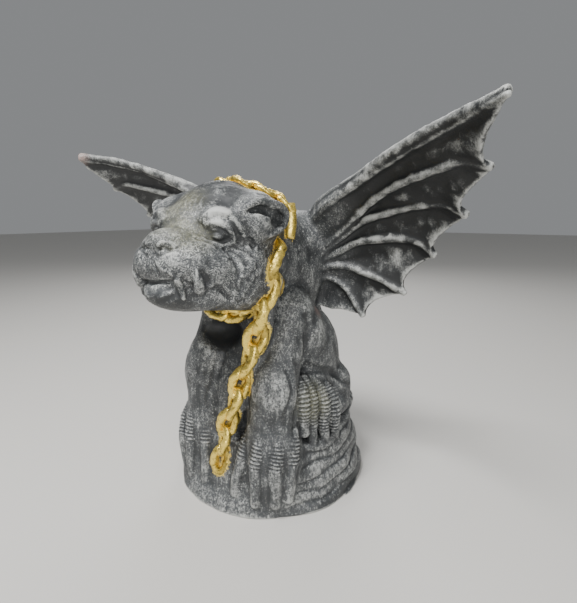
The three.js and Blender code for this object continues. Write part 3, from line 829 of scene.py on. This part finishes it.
def rib_tree(material):
    """Round ribs swept along every spline, as thick as the spline's own radius."""
    tree = new_geometry_tree("wing_ribs")
    add_inputs(tree, "Int", "Steps", "Sides")
    source = add_node(tree, "NodeGroupInput")
    path = add_node(
        tree, "GeometryNodeResampleCurve", ("Curve", source.outputs["Geometry"]),
        ("Count", source.outputs["Steps"]), mode="COUNT")
    profile = add_node(
        tree, "GeometryNodeCurvePrimitiveCircle", ("Resolution", source.outputs["Sides"]),
        ("Radius", 1.0), mode="RADIUS")
    radius = add_node(tree, "GeometryNodeInputRadius")
    tube = add_node(
        tree, "GeometryNodeCurveToMesh", ("Curve", path),
        ("Profile Curve", profile), ("Scale", radius),
        ("Fill Caps", True))
    real = add_node(tree, "GeometryNodeRealizeInstances", ("Geometry", tube))
    paint = add_node(
        tree, "GeometryNodeSetMaterial", ("Geometry", real), ("Material", material))
    add_node(tree, "NodeGroupOutput", (0, paint))
    return tree


def wing_ribs(material):
    """The left wing's ribs as one mesh, lying a little proud of the skin's front."""
    paths = []
    for k, finger in enumerate(WING_FINGERS[:-1]):
        path = catmull(finger, 30)
        path[:, 1] -= 1.5 if k > 1 else 0.5
        paths.append(path)
    source = curve_object("rib_paths", paths, RIB_RADII)
    return run_nodes(source, rib_tree(material), {"Steps": 48, "Sides": 12}, "wing_ribs")


# The right wing has lost its point, which broke off square this far from the middle.
CHIP_REACH = 197.0


def sculpt_wings(clay, material):
    """Both wings, each made in a block of its own and then joined to the body."""
    skin, ribs = wing_skin(), wing_ribs(material)
    for mirrored in (False, True):
        wing = Clay((16, -96, 150), (214, 40, 326), clay.voxel)
        wing.add_mesh(skin, 2.0)
        wing.add_mesh(ribs, 2.5)
        part = tuple(
            slice(a, a + n) for a, n in zip(wing.first - clay.first, wing.shape))
        field = wing.field
        if mirrored:
            start = -(wing.first[0] + wing.shape[0] - 1) - clay.first[0]
            part = (slice(start, start + wing.shape[0]),) + part[1:]
            field = field[::-1]
            x = (clay.first[0] + start + np.arange(wing.shape[0])) * clay.voxel
            field = np.maximum(field, (-x - CHIP_REACH)[:, None, None])
        clay.merge(part, np.minimum(field, 9).astype(np.float32), 6.0)
    for mesh in (skin, ribs):
        bpy.data.meshes.remove(mesh)


# ----------------------------------------------------------------------- the chain
LEASH = [
    (53, -71, 221), (53, -79, 205), (47, -80, 184), (40, -76, 163), (33, -78, 142),
    (25, -80, 119), (18, -83, 97), (8, -83, 70), (2, -84, 41),
]
# Over the nape, from the middle to the creature's left, which is all of it that is made.
NAPE = [
    (-6, -61, 282.5), (4, -62, 283), (15, -60, 281), (28, -54, 276), (38, -49, 270.5),
    (45, -43, 264),
]
THROAT = [
    (-50, -58, 208), (-42, -64, 189), (-28, -68, 178), (-10, -72, 174), (10, -73, 174),
    (26, -72, 179), (38, -70, 186), (47, -67, 197),
]
STRAP = [(46, -39, 265), (48, -40, 252), (48, -43, 237)]
# Each link faces away from its hub: the leash forward, the collar outward.
LEASH_HUB = (-450, 1000, 120)
COLLAR_HUB = (0, -52, 228)
# How wide one hammered dent is.
DENT = 6.0
PATH_STEPS = 60
# How finely a link is divided along its bar and round it.
LINK_STEPS = 60
LINK_SIDES = 20


def link_tree():
    """One twisted oval link, from a circle pulled long and turned end over end."""
    tree = new_geometry_tree("chain_link")
    add_inputs(tree, "Float", "Length", "Width", "Wire", "Twist")
    add_inputs(tree, "Int", "Steps", "Sides")
    source = add_node(tree, "NodeGroupInput")
    loop = add_node(
        tree, "GeometryNodeCurvePrimitiveCircle", ("Resolution", source.outputs["Steps"]),
        ("Radius", 1.0), mode="RADIUS")
    place = add_node(tree, "GeometryNodeInputPosition")
    split = add_node(tree, "ShaderNodeSeparateXYZ", (0, place))

    def across(side, name):
        """The circle's place along one side, pulled to the link's size between bar centres."""
        room = calculate(tree, "SUBTRACT", source.outputs[name], source.outputs["Wire"])
        return calculate(
            tree, "MULTIPLY", split.outputs[side], calculate(tree, "MULTIPLY", room, 0.5))

    x, y = across(0, "Length"), across(1, "Width")
    half_turn = calculate(tree, "MULTIPLY", split.outputs[0], 0.5)
    angle = calculate(tree, "MULTIPLY", half_turn, source.outputs["Twist"])
    flat = calculate(tree, "MULTIPLY", y, calculate(tree, "COSINE", angle))
    rise = calculate(tree, "MULTIPLY", y, calculate(tree, "SINE", angle))
    bent = add_node(tree, "ShaderNodeCombineXYZ", (0, x), (1, flat), (2, rise))
    shaped = add_node(
        tree, "GeometryNodeSetPosition", ("Geometry", loop),
        ("Position", bent))
    bar = calculate(tree, "MULTIPLY", source.outputs["Wire"], 0.5)
    profile = add_node(
        tree, "GeometryNodeCurvePrimitiveCircle", ("Resolution", source.outputs["Sides"]),
        ("Radius", bar), mode="RADIUS")
    tube = add_node(
        tree, "GeometryNodeCurveToMesh", ("Curve", shaped),
        ("Profile Curve", profile))
    add_node(tree, "NodeGroupOutput", (0, tube))
    return tree


def chain_tree(link, material):
    """Links set along a path, every second one turned by the lean."""
    tree = new_geometry_tree("chain")
    add_inputs(tree, "Int", "Links")
    add_inputs(tree, "Vector", "Hub")
    add_inputs(tree, "Float", "Lean", "Roll", "Crowding", "First", "Last")
    add_inputs(tree, "Float", "Length", "Width", "Wire", "Twist", "Hammering", "Dent")
    source = add_node(tree, "NodeGroupInput")
    index = add_node(tree, "GeometryNodeInputIndex").outputs[0]

    gaps = calculate(tree, "SUBTRACT", source.outputs["Links"], 1.0)
    share = calculate(tree, "DIVIDE", index, gaps)
    spare = calculate(tree, "SUBTRACT", 1.0, share)
    warp = calculate(tree, "MULTIPLY", share, spare)
    warp = calculate(tree, "MULTIPLY", warp, source.outputs["Crowding"])
    points = add_node(tree, "GeometryNodePoints", ("Count", source.outputs["Links"]))
    sample = add_node(
        tree, "GeometryNodeSampleCurve", ("Curves", source.outputs["Geometry"]),
        ("Factor", calculate(tree, "ADD", share, warp)), mode="FACTOR", use_all_curves=True)
    laid = add_node(
        tree, "GeometryNodeSetPosition", ("Geometry", points),
        ("Position", sample.outputs["Position"]))

    one = add_node(tree, "GeometryNodeGroup", node_tree=link)
    for name in ("Length", "Width", "Wire", "Twist"):
        tree.links.new(source.outputs[name], one.inputs[name])
    one.inputs["Steps"].default_value = LINK_STEPS
    one.inputs["Sides"].default_value = LINK_SIDES
    outward = add_node(
        tree, "ShaderNodeVectorMath", (0, sample.outputs["Position"]),
        (1, source.outputs["Hub"]), operation="SUBTRACT")
    facing = add_node(
        tree, "FunctionNodeAxesToRotation", ("Primary Axis", sample.outputs["Tangent"]),
        ("Secondary Axis", outward), primary_axis="X", secondary_axis="Z")
    second = calculate(tree, "MODULO", index, 2.0)
    lean = calculate(tree, "MULTIPLY", second, source.outputs["Lean"])
    lean = calculate(tree, "ADD", source.outputs["Roll"], lean)
    spin = add_node(
        tree, "FunctionNodeAxisAngleToRotation", ("Axis", (1.0, 0.0, 0.0)), ("Angle", lean))
    turned = add_node(
        tree, "FunctionNodeRotateRotation", ("Rotation", facing),
        ("Rotate By", spin), rotation_space="LOCAL")
    size = add_node(
        tree, "ShaderNodeMapRange", ("Value", share),
        ("To Min", source.outputs["First"]), ("To Max", source.outputs["Last"]))
    links = add_node(
        tree, "GeometryNodeInstanceOnPoints", ("Points", laid),
        ("Instance", one), ("Rotation", turned),
        ("Scale", size))
    real = add_node(tree, "GeometryNodeRealizeInstances", ("Geometry", links))

    dents = add_node(
        tree, "ShaderNodeTexNoise", ("Detail", 2.0),
        ("Scale", calculate(tree, "DIVIDE", 1.0, source.outputs["Dent"]))).outputs["Fac"]
    depth = calculate(tree, "SUBTRACT", dents, 0.5)
    depth = calculate(tree, "MULTIPLY", depth, source.outputs["Hammering"])
    normal = add_node(tree, "GeometryNodeInputNormal")
    push = add_node(
        tree, "ShaderNodeVectorMath", (0, normal), ("Scale", depth), operation="SCALE")
    dented = add_node(
        tree, "GeometryNodeSetPosition", ("Geometry", real),
        ("Offset", push))
    paint = add_node(
        tree, "GeometryNodeSetMaterial", ("Geometry", dented), ("Material", material))
    add_node(tree, "NodeGroupOutput", (0, paint))
    return tree


# Name, path, hub, lean and roll in degrees, crowding, and the first and last link's size.
RUNS = (
    ("leash", LEASH, LEASH_HUB, -80, 60, 0.08, 1.0, 0.86),
    ("nape", NAPE, COLLAR_HUB, 70, -35, 0.0, 0.55, 0.55),
    ("throat", THROAT, COLLAR_HUB, 70, -35, 0.0, 0.8, 0.8),
)


def chain_meshes(settings, material):
    """The hanging end, the chains over the nape and under the throat, and the two straps."""
    tree = chain_tree(link_tree(), material)
    meshes = []
    for name, path, hub, lean, roll, crowding, first, last in RUNS:
        meshes.append(run_nodes(
            curve_object(name + "_path", [catmull(path, PATH_STEPS)], [(1, 1)]), tree, {
                "Links": settings.leash_links if path is LEASH else settings.collar_links,
                "Hub": tuple(v * MM for v in hub),
                "Lean": math.radians(lean), "Roll": math.radians(roll),
                "Crowding": crowding, "First": first, "Last": last,
                "Length": settings.link_length, "Width": settings.link_width,
                "Wire": settings.wire, "Twist": settings.twist,
                "Hammering": settings.hammering, "Dent": DENT * MM,
            }, name))
    straps = [catmull(STRAP, 20), catmull(mirror(STRAP), 20)]
    meshes.append(run_nodes(
        curve_object("strap_paths", straps, [(5.0, 5.4)] * 2), rib_tree(material),
        {"Steps": 12, "Sides": 12}, "straps"))
    return meshes


# ----------------------------------------------------------------------- materials
def new_material(name):
    """A material with a principled shader and its output."""
    material = bpy.data.materials.new(name)
    material.use_nodes = True
    tree = material.node_tree
    tree.nodes.clear()
    shader = add_node(tree, "ShaderNodeBsdfPrincipled")
    add_node(tree, "ShaderNodeOutputMaterial", (0, shader))
    return material, tree, shader


def speckle(tree, place, size, detail=3.0, roughness=0.6, swirl=0.0):
    """Noise whose spots are about this many metres across."""
    return add_node(
        tree, "ShaderNodeTexNoise", ("Vector", place), ("Scale", 1.0 / size),
        ("Detail", detail), ("Roughness", roughness), ("Distortion", swirl)).outputs["Fac"]


def ramp(tree, value, low, high, to_low=0.0, to_high=1.0):
    """A value between low and high, eased into another range."""
    return add_node(
        tree, "ShaderNodeMapRange", ("Value", value), ("From Min", low), ("From Max", high),
        ("To Min", to_low), ("To Max", to_high), interpolation_type="SMOOTHSTEP").outputs[0]


def blend_colour(tree, share, a, b):
    """Colour a turning into colour b as the share goes from 0 to 1."""
    node = add_node(tree, "ShaderNodeMix", (0, share), data_type="RGBA")
    for key, value in ((6, a), (7, b)):
        if isinstance(value, bpy.types.NodeSocket):
            tree.links.new(value, node.inputs[key])
        else:
            node.inputs[key].default_value = (*linear(value), 1)
    return node.outputs[2]


def combine(tree, operation, a, b):
    """Two masks made into one, kept between 0 and 1."""
    return add_node(
        tree, "ShaderNodeMath", (0, a), (1, b), operation=operation, use_clamp=True).outputs[0]


def painted_stone(settings, gold):
    """Charcoal paint over cast stone, dry brushed with silver grey; satin; the charcoal is
    darkened in the hollows as painted shade.
    """
    material, tree, shader = new_material("painted_cast_stone")
    place = add_node(tree, "ShaderNodeTexCoord").outputs["Object"]

    def attribute(name):
        return add_node(tree, "ShaderNodeAttribute", attribute_name=name).outputs["Fac"]

    raised, grain, curly = attribute("raised"), attribute("grain"), attribute("curly")
    fine = speckle(tree, place, 1.9 * MM, 5.0, 0.7, 0.6)
    patch = speckle(tree, place, 15 * MM, 3.0)
    drag = add_node(tree, "ShaderNodeVectorMath", (0, place), (1, (1.0, 1.0, 0.3)),
                    operation="MULTIPLY").outputs[0]
    streak = speckle(tree, drag, 2.0 * MM, 3.0, 0.6, 0.8)
    # A thin curly line runs wherever this noise passes through its middle value.
    swirl = calculate(tree, "SUBTRACT", speckle(tree, place, 4.0 * MM, 2.0, 0.5, 2.4), 0.5)
    line = ramp(tree, calculate(tree, "ABSOLUTE", swirl), 0.0, 0.05, 1.0, 0.0)

    # The dry brush leaves silver on what is raised, broken up by the four kinds of noise.
    noise = calculate(tree, "MULTIPLY_ADD", fine, 2.4, -2.75)
    for kind, weight in (
            (streak, ramp(tree, curly, 0.0, 1.0, 1.6, 0.7)), (patch, 0.9),
            (line, ramp(tree, curly, 0.0, 1.0, 0.6, 1.3))):
        noise = calculate(tree, "MULTIPLY_ADD", kind, weight, noise)
    brush = ramp(tree, calculate(tree, "MULTIPLY_ADD", noise, grain, raised), 0.05, 1.05)
    # Painted shade: the charcoal darkens in the hollows, and where the grain is low, on the wings
    # and in the chest hollow.
    shade = calculate(tree, "MULTIPLY", ramp(tree, raised, 0.0, 0.3, 0.55, 1.0),
                      ramp(tree, grain, 0.4, 1.0, 0.5, 1.0))
    dark = add_node(tree, "ShaderNodeVectorMath", (0, linear(settings.charcoal)),
                    ("Scale", shade), operation="SCALE")
    colour = blend_colour(tree, brush, dark.outputs[0], settings.silver)

    warm = combine(tree, "MULTIPLY", attribute("yellowed"), ramp(tree, fine, 0.4, 0.7, 0.1, 0.6))
    colour = blend_colour(tree, warm, colour, settings.yellowing)
    bare = combine(tree, "MULTIPLY", attribute("worn"), ramp(tree, fine, 0.3, 0.6, 0.3, 0.9))
    colour = blend_colour(tree, bare, colour, settings.bare)
    ragged = combine(tree, "SUBTRACT", attribute("gilding"), ramp(tree, fine, 0.3, 0.7, 0.0, 0.6))
    gilt = ramp(tree, ragged, 0.12, 0.3)
    colour = blend_colour(tree, gilt, colour, gold)
    tree.links.new(colour, shader.inputs["Base Color"])
    tree.links.new(ramp(tree, fine, 0.3, 0.7, 0.42, 0.62), shader.inputs["Roughness"])
    tree.links.new(combine(tree, "MULTIPLY", gilt, 0.5), shader.inputs["Metallic"])
    relief = add_node(
        tree, "ShaderNodeBump", ("Height", fine), ("Strength", 0.55), ("Distance", 0.6 * MM))
    tree.links.new(relief.outputs[0], shader.inputs["Normal"])
    return material


def gold_paint(settings):
    """Bright gold paint rubbed over the chain, brown where it ran thin, and brown as painted shade
    where the links lie against the stone and in their dents.
    """
    material, tree, shader = new_material("gold_paint")
    place = add_node(tree, "ShaderNodeTexCoord").outputs["Object"]
    fine = speckle(tree, place, 3.0 * MM, 4.0, 0.7)
    hammer = speckle(tree, place, 4.2 * MM, 3.0, 0.55, 0.5)
    depth = add_node(tree, "ShaderNodeAttribute", attribute_name="crease").outputs["Fac"]
    # Painted shade: brown where the links lie close against the stone, and in the hammered dents;
    # the fine noise gives patches of thin paint.
    thin = combine(tree, "MULTIPLY", depth, ramp(tree, fine, 0.2, 0.7, 0.6, 1.0))
    thin = combine(tree, "MAXIMUM", thin, ramp(tree, fine, 0.62, 0.8, 0.0, 0.7))
    thin = combine(tree, "MAXIMUM", thin, ramp(tree, hammer, 0.34, 0.44, 0.6, 0.0))
    colour = blend_colour(tree, thin, settings.gold, settings.shade)
    tree.links.new(colour, shader.inputs["Base Color"])
    tree.links.new(ramp(tree, fine, 0.3, 0.7, 0.2, 0.38), shader.inputs["Roughness"])
    shader.inputs["Metallic"].default_value = 0.85
    relief = add_node(
        tree, "ShaderNodeBump", ("Height", hammer), ("Strength", 0.8), ("Distance", 1.1 * MM))
    tree.links.new(relief.outputs[0], shader.inputs["Normal"])
    return material


# ------------------------------------------------------------------ painter's masks
def mesh_arrays(mesh):
    """Places, normals and edges of a mesh as arrays."""
    return (read_rows(mesh.vertices, "co", 3), read_rows(mesh.vertices, "normal", 3),
            read_rows(mesh.edges, "vertices", 2, np.int32))


def neighbour_mean(values, edges, rounds):
    """Values averaged with their neighbours along the edges, a number of times."""
    total = len(values)
    count = np.bincount(edges.ravel(), minlength=total)[:, None] + 1.0
    values = values.astype(float)
    for _ in range(rounds):
        spread = values.copy()
        for axis in range(values.shape[1]):
            spread[:, axis] += np.bincount(edges[:, 0], values[edges[:, 1], axis], total)
            spread[:, axis] += np.bincount(edges[:, 1], values[edges[:, 0], axis], total)
        values = spread / count
    return values


def raised_places(points, normals, edges):
    """How far each place stands out from what is round it, from 0 in hollows to 1.1; faces that
    look up get a little more, as painted light from above.
    """
    fine, broad = (
        ((points - neighbour_mean(points, edges, rounds)) * normals).sum(1) / MM
        for rounds in (6, 60))
    # Faces that look up are lightened a little, as painted light from above.
    upward = normals[:, 2]
    crisp = fine - 0.12 * broad
    return np.clip(0.22 + 0.9 * crisp + 0.03 * broad + 0.08 * upward, 0, 1.1)


def near_places(points, centres, radius):
    """1 at the centres, falling to 0 at the radius; in millimetres."""
    mask = np.zeros(len(points))
    for centre in centres:
        gap = np.linalg.norm(points / MM - centre, axis=1)
        mask = np.maximum(mask, 1 - smoothstep(0.2 * radius, radius, gap))
    return mask


def wing_share(points):
    """0 on the body and 1 out on the wings, whose paint is darker and smoother."""
    return smoothstep(0.055, 0.1, np.abs(points[:, 0])) * smoothstep(0.14, 0.17, points[:, 2])


def set_attribute(mesh, name, values):
    """Stores one value for each place on a mesh, for its material to read."""
    layer = mesh.attributes.new(name, "FLOAT", "POINT")
    layer.data.foreach_set("value", values.astype(np.float32))


def nearness(points, mesh, reach):
    """1 where a point touches the mesh, falling to 0 at the reach."""
    tree = kdtree.KDTree(len(mesh.vertices))
    for i, vertex in enumerate(mesh.vertices):
        tree.insert(vertex.co, i)
    tree.balance()
    touched = read_rows(mesh.vertices, "co", 3)
    low, high = touched.min(0) - reach, touched.max(0) + reach
    close = np.nonzero(((points > low) & (points < high)).all(1))[0]
    mask = np.zeros(len(points))
    for i in close:
        mask[i] = max(0.0, 1 - tree.find(points[i])[2] / reach)
    return mask


# Places given extra silver, and places darkened: where, how wide, how strong.
# The extra silver is dry brush, and on the brow and muzzle also a painted highlight. The darkened
# places are painted shade: in the eye under the brow, in the chest hollow under the chin and under
# the lower lip; the crown gets less silver.
SILVER_AND_PAINTED_LIGHT = (
    ((35, -111, 257), 14, 0.8), ((24, -137, 226), 20, 0.28), ((47, -112, 212), 24, 0.16),
    ((55, -78, 114), 22, 0.3), ((67, -18, 158), 16, 0.25), ((-22, -66, 132), 20, 0.25),
    ((20, -146, 208), 10, 0.3), ((26, -138, 214), 9, 0.3),
    ((36, -114, 242), 8, -0.5), ((-12, -48, 152), 34, -0.9),
    ((6, -82, 277), 50, -0.36), ((16, -146, 198), 18, -0.35),
    ((36, -138, 218), 7, 0.5), ((34, -146, 207), 6, 0.4), ((70, -66, 5), 34, 0.3),
    ((30, -96, 4), 34, 0.3), ((-20, -98, 5), 30, 0.25), ((90, -30, 26), 34, 0.2),
    ((58, -62, 155), 22, 0.18),
)
# Other marks in the paint, and painted shade in the chest hollow: where each kind is, and how far
# it reaches.
CURLY = [
    (30, -134, 225), (52, -104, 216), (36, -105, 262), (8, -90, 272), (16, -140, 235)], 42
YELLOWED = [
    (0, -112, 262), (10, -128, 245), (20, -128, 240), (30, -60, 262), (74, -40, 98)], 26
WORN = [(56, -18, 172), (-197, -74, 316)], 13
# Painted shade in the deep chest hollow under the chin, which darkens the charcoal there.
CHEST_SHADE = [(-12, -48, 152)], 36


def mask_casting(mesh, chain):
    """Sets where the casting's paint is brushed, curly, smooth, yellowed, worn and gilded, and
    where painted highlight and painted shade lie.
    """
    points, normals, edges = mesh_arrays(mesh)
    raised = raised_places(points, normals, edges)
    # Extra silver and painted highlight, and painted shade, from the table above.
    for place, radius, strength in SILVER_AND_PAINTED_LIGHT:
        raised += strength * near_places(points, [place], radius)
    wing, curly = wing_share(points), near_places(points, *CURLY)
    raised = raised * (1 + wing + 1.2 * curly) - 0.17 * wing - 0.24 * curly
    raised -= 0.12 * smoothstep(0.09, 0.17, np.abs(points[:, 0]))
    # The charcoal is darker and less grainy out on the wings, and darker as painted shade in the
    # chest hollow.
    smooth = np.maximum(wing, near_places(points, *CHEST_SHADE))
    set_attribute(mesh, "raised", raised)
    set_attribute(mesh, "curly", curly)
    set_attribute(mesh, "grain", 1 + 0.15 * curly - 0.6 * smooth)
    set_attribute(mesh, "yellowed", 0.8 * near_places(points, *YELLOWED))
    set_attribute(mesh, "worn", near_places(points, *WORN))
    set_attribute(mesh, "gilding", nearness(points, chain, 3.5 * MM))


# ---------------------------------------------------------------------- the pieces
# The corners of the block of clay.
BLOCK = (-214, -160, -4), (214, 100, 326)
# How far in the right legs and the right front toes stand, and the upright that the head
# turns about.
LEG_INSET = 10.0
PAW_INSET = 6.0
NECK = (0, -50, 0)


def sculpt(settings, material):
    """The whole casting as one mesh."""
    voxel = settings.voxel / MM * 1.0
    rng = np.random.default_rng(SEED)
    clay = Clay(*BLOCK, voxel)
    sculpt_torso(clay)
    sculpt_rock(clay)
    clay.inset = LEG_INSET
    sculpt_foreleg(clay)
    sculpt_hind_leg(clay)
    sculpt_toes(clay, HIND_TOES, radius=5.8, knuckle_share=0.78, pitch=2.9, claw=3.2)
    clay.inset = PAW_INSET
    sculpt_toes(clay, FRONT_TOES, radius=6.2, knuckle_share=0.48, pitch=3.1, claw=4.4)
    clay.inset = 0.0
    sculpt_chest_hollow(clay)
    sculpt_chain_bed(clay)
    clay.turn(settings.head_turn, NECK)
    sculpt_skull(clay)
    sculpt_nose(clay)
    sculpt_mouth(clay)
    sculpt_eye(clay)
    sculpt_ear(clay)
    sculpt_wrinkles(clay)
    sculpt_fur(clay, rng)
    clay.turn(0)
    sculpt_wings(clay, material)
    clay.lumps(rng, 13.0, settings.lumps / MM)
    clay.lumps(rng, 5.0, 0.45 * settings.lumps / MM)
    clay.flatten(0.0)
    return clay.to_mesh("gargoyle_casting")


def finished(mesh, name, material, face_limit):
    """The mesh as an object with no more triangles than allowed, shaded smooth."""
    piece = bpy.data.objects.new(name, mesh)
    bpy.context.scene.collection.objects.link(piece)
    mesh.calc_loop_triangles()
    total = len(mesh.loop_triangles)
    if total > face_limit:
        thin = piece.modifiers.new("thin", "DECIMATE")
        thin.ratio = face_limit / total
        thin.use_collapse_triangulate = True
        graph = bpy.context.evaluated_depsgraph_get()
        lighter = bpy.data.meshes.new_from_object(piece.evaluated_get(graph))
        piece.modifiers.clear()
        piece.data = lighter
        bpy.data.meshes.remove(mesh)
        mesh = lighter
        mesh.name = name
    mesh.materials.clear()
    mesh.materials.append(material)
    mesh.polygons.foreach_set("use_smooth", [True] * len(mesh.polygons))
    return piece


class GARGOYLE_OT_chain(bpy.types.Operator):
    """Make the gilded collar and leash"""

    bl_idname = "gargoyle.chain"
    bl_label = "Make Chain"

    def execute(self, context):
        settings = context.scene.gargoyle_chain
        material = gold_paint(settings)
        points, faces = [], []
        for part in chain_meshes(settings, material):
            faces += [tuple(v + len(points) for v in f.vertices) for f in part.polygons]
            points += [v.co.copy() for v in part.vertices]
            bpy.data.meshes.remove(part)
        mesh = bpy.data.meshes.new("gilded_chain")
        mesh.from_pydata(points, [], faces)
        piece = finished(mesh, "gilded_chain", material, MOST_FACES)
        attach(piece, "root")
        return {"FINISHED"}


class GARGOYLE_OT_casting(bpy.types.Operator):
    """Sculpt and paint the gargoyle"""

    bl_idname = "gargoyle.casting"
    bl_label = "Sculpt Gargoyle"

    def execute(self, context):
        settings = context.scene.gargoyle_casting
        chain = bpy.data.objects["gilded_chain"].data
        material = painted_stone(settings, context.scene.gargoyle_chain.gold)
        piece = finished(
            sculpt(settings, material), "gargoyle_casting", material, settings.face_limit)
        mask_casting(piece.data, chain)
        links = read_rows(chain.vertices, "co", 3)
        # Painted shade on the links where they lie close against the stone.
        set_attribute(chain, "crease", nearness(links, piece.data, 5.0 * MM))
        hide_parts("gargoyle")
        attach(piece, "root")
        return {"FINISHED"}


class GARGOYLE_OT_stage(bpy.types.Operator):
    """Lay the floor and set the lamps and camera"""

    bl_idname = "gargoyle.stage"
    bl_label = "Set Stage"

    def execute(self, context):
        settings = context.scene.gargoyle_stage
        lay_floor(settings)
        set_lamps(context.scene)
        set_camera(settings, context.scene)
        return {"FINISHED"}


FLOOR_HALF = 6.0
SKY_COLOUR = (0.72, 0.74, 0.76)
SKY_STRENGTH = 0.34


def lay_floor(settings):
    """A plain square floor under the base."""
    corners = [(x * FLOOR_HALF, y * FLOOR_HALF, 0)
               for x, y in ((-1, -1), (1, -1), (1, 1), (-1, 1))]
    mesh = bpy.data.meshes.new("floor")
    mesh.from_pydata(corners, [], [(0, 1, 2, 3)])
    material, _, shader = new_material("pale_floor")
    shader.inputs["Base Color"].default_value = (*linear(settings.floor_colour), 1)
    shader.inputs["Roughness"].default_value = 0.8
    mesh.materials.append(material)
    floor = bpy.data.objects.new("floor", mesh)
    bpy.context.scene.collection.objects.link(floor)


# Name, place, aim, size and power, in metres and watts.
LAMPS = (
    ("key_lamp", (-0.05, -0.6, 1.2), (0, -0.03, 0.17), 0.4, 22.0),
    ("fill_lamp", (1.1, -1.1, 0.6), (0, 0, 0.12), 1.0, 14.0),
    ("rim_lamp", (-0.6, 1.0, 1.0), (0, 0, 0.2), 0.8, 8.0),
)


def set_lamps(scene):
    """Three soft round lamps and an even grey surrounding."""
    for name, place, aim, size, power in LAMPS:
        light = bpy.data.lights.new(name, "AREA")
        light.shape = "DISK"
        light.size = size
        light.energy = power
        lamp = bpy.data.objects.new(name, light)
        lamp.location = place
        lamp.rotation_euler = (Vector(aim) - Vector(place)).to_track_quat("-Z", "Y").to_euler()
        scene.collection.objects.link(lamp)
    world = bpy.data.worlds.new("studio")
    world.use_nodes = True
    sky = world.node_tree.nodes["Background"]
    sky.inputs["Color"].default_value = (*SKY_COLOUR, 1)
    sky.inputs["Strength"].default_value = SKY_STRENGTH
    scene.world = world


def set_camera(settings, scene):
    """The camera, level from side to side and looking a little down."""
    data = bpy.data.cameras.new("camera")
    data.sensor_width = 36
    data.lens = settings.lens
    data.clip_start = 0.01
    camera = bpy.data.objects.new("camera", data)
    camera.location = settings.camera_place
    camera.rotation_euler = (
        math.pi / 2 - settings.camera_dip, 0, settings.camera_heading)
    scene.collection.objects.link(camera)
    scene.camera = camera


class GARGOYLE_PT_panel(bpy.types.Panel):
    """Settings of the gargoyle, its chain and its stage"""

    bl_label = "Gargoyle"
    bl_idname = "GARGOYLE_PT_panel"
    bl_space_type = "VIEW_3D"
    bl_region_type = "UI"
    bl_category = "Gargoyle"

    def draw(self, context):
        for group, operator in (
                ("gargoyle_chain", "gargoyle.chain"),
                ("gargoyle_casting", "gargoyle.casting"),
                ("gargoyle_stage", "gargoyle.stage")):
            box = self.layout.box()
            settings = getattr(context.scene, group)
            for name in settings.__annotations__:
                box.prop(settings, name)
            box.operator(operator)


GROUPS = (
    ("gargoyle_casting", GargoyleSettings),
    ("gargoyle_chain", ChainSettings),
    ("gargoyle_stage", StageSettings),
)
OPERATORS = (GARGOYLE_OT_chain, GARGOYLE_OT_casting, GARGOYLE_OT_stage)
CLASSES = tuple(kind for _, kind in GROUPS) + OPERATORS + (GARGOYLE_PT_panel,)


def register():
    for kind in CLASSES:
        bpy.utils.register_class(kind)
    for name, kind in GROUPS:
        setattr(bpy.types.Scene, name, PointerProperty(type=kind))


def unregister():
    for name, _ in GROUPS:
        delattr(bpy.types.Scene, name)
    for kind in reversed(CLASSES):
        bpy.utils.unregister_class(kind)


def main():
    register()
    bpy.ops.gargoyle.chain()
    bpy.ops.gargoyle.casting()
    bpy.ops.gargoyle.stage()


if __name__ == "__main__":
    main()
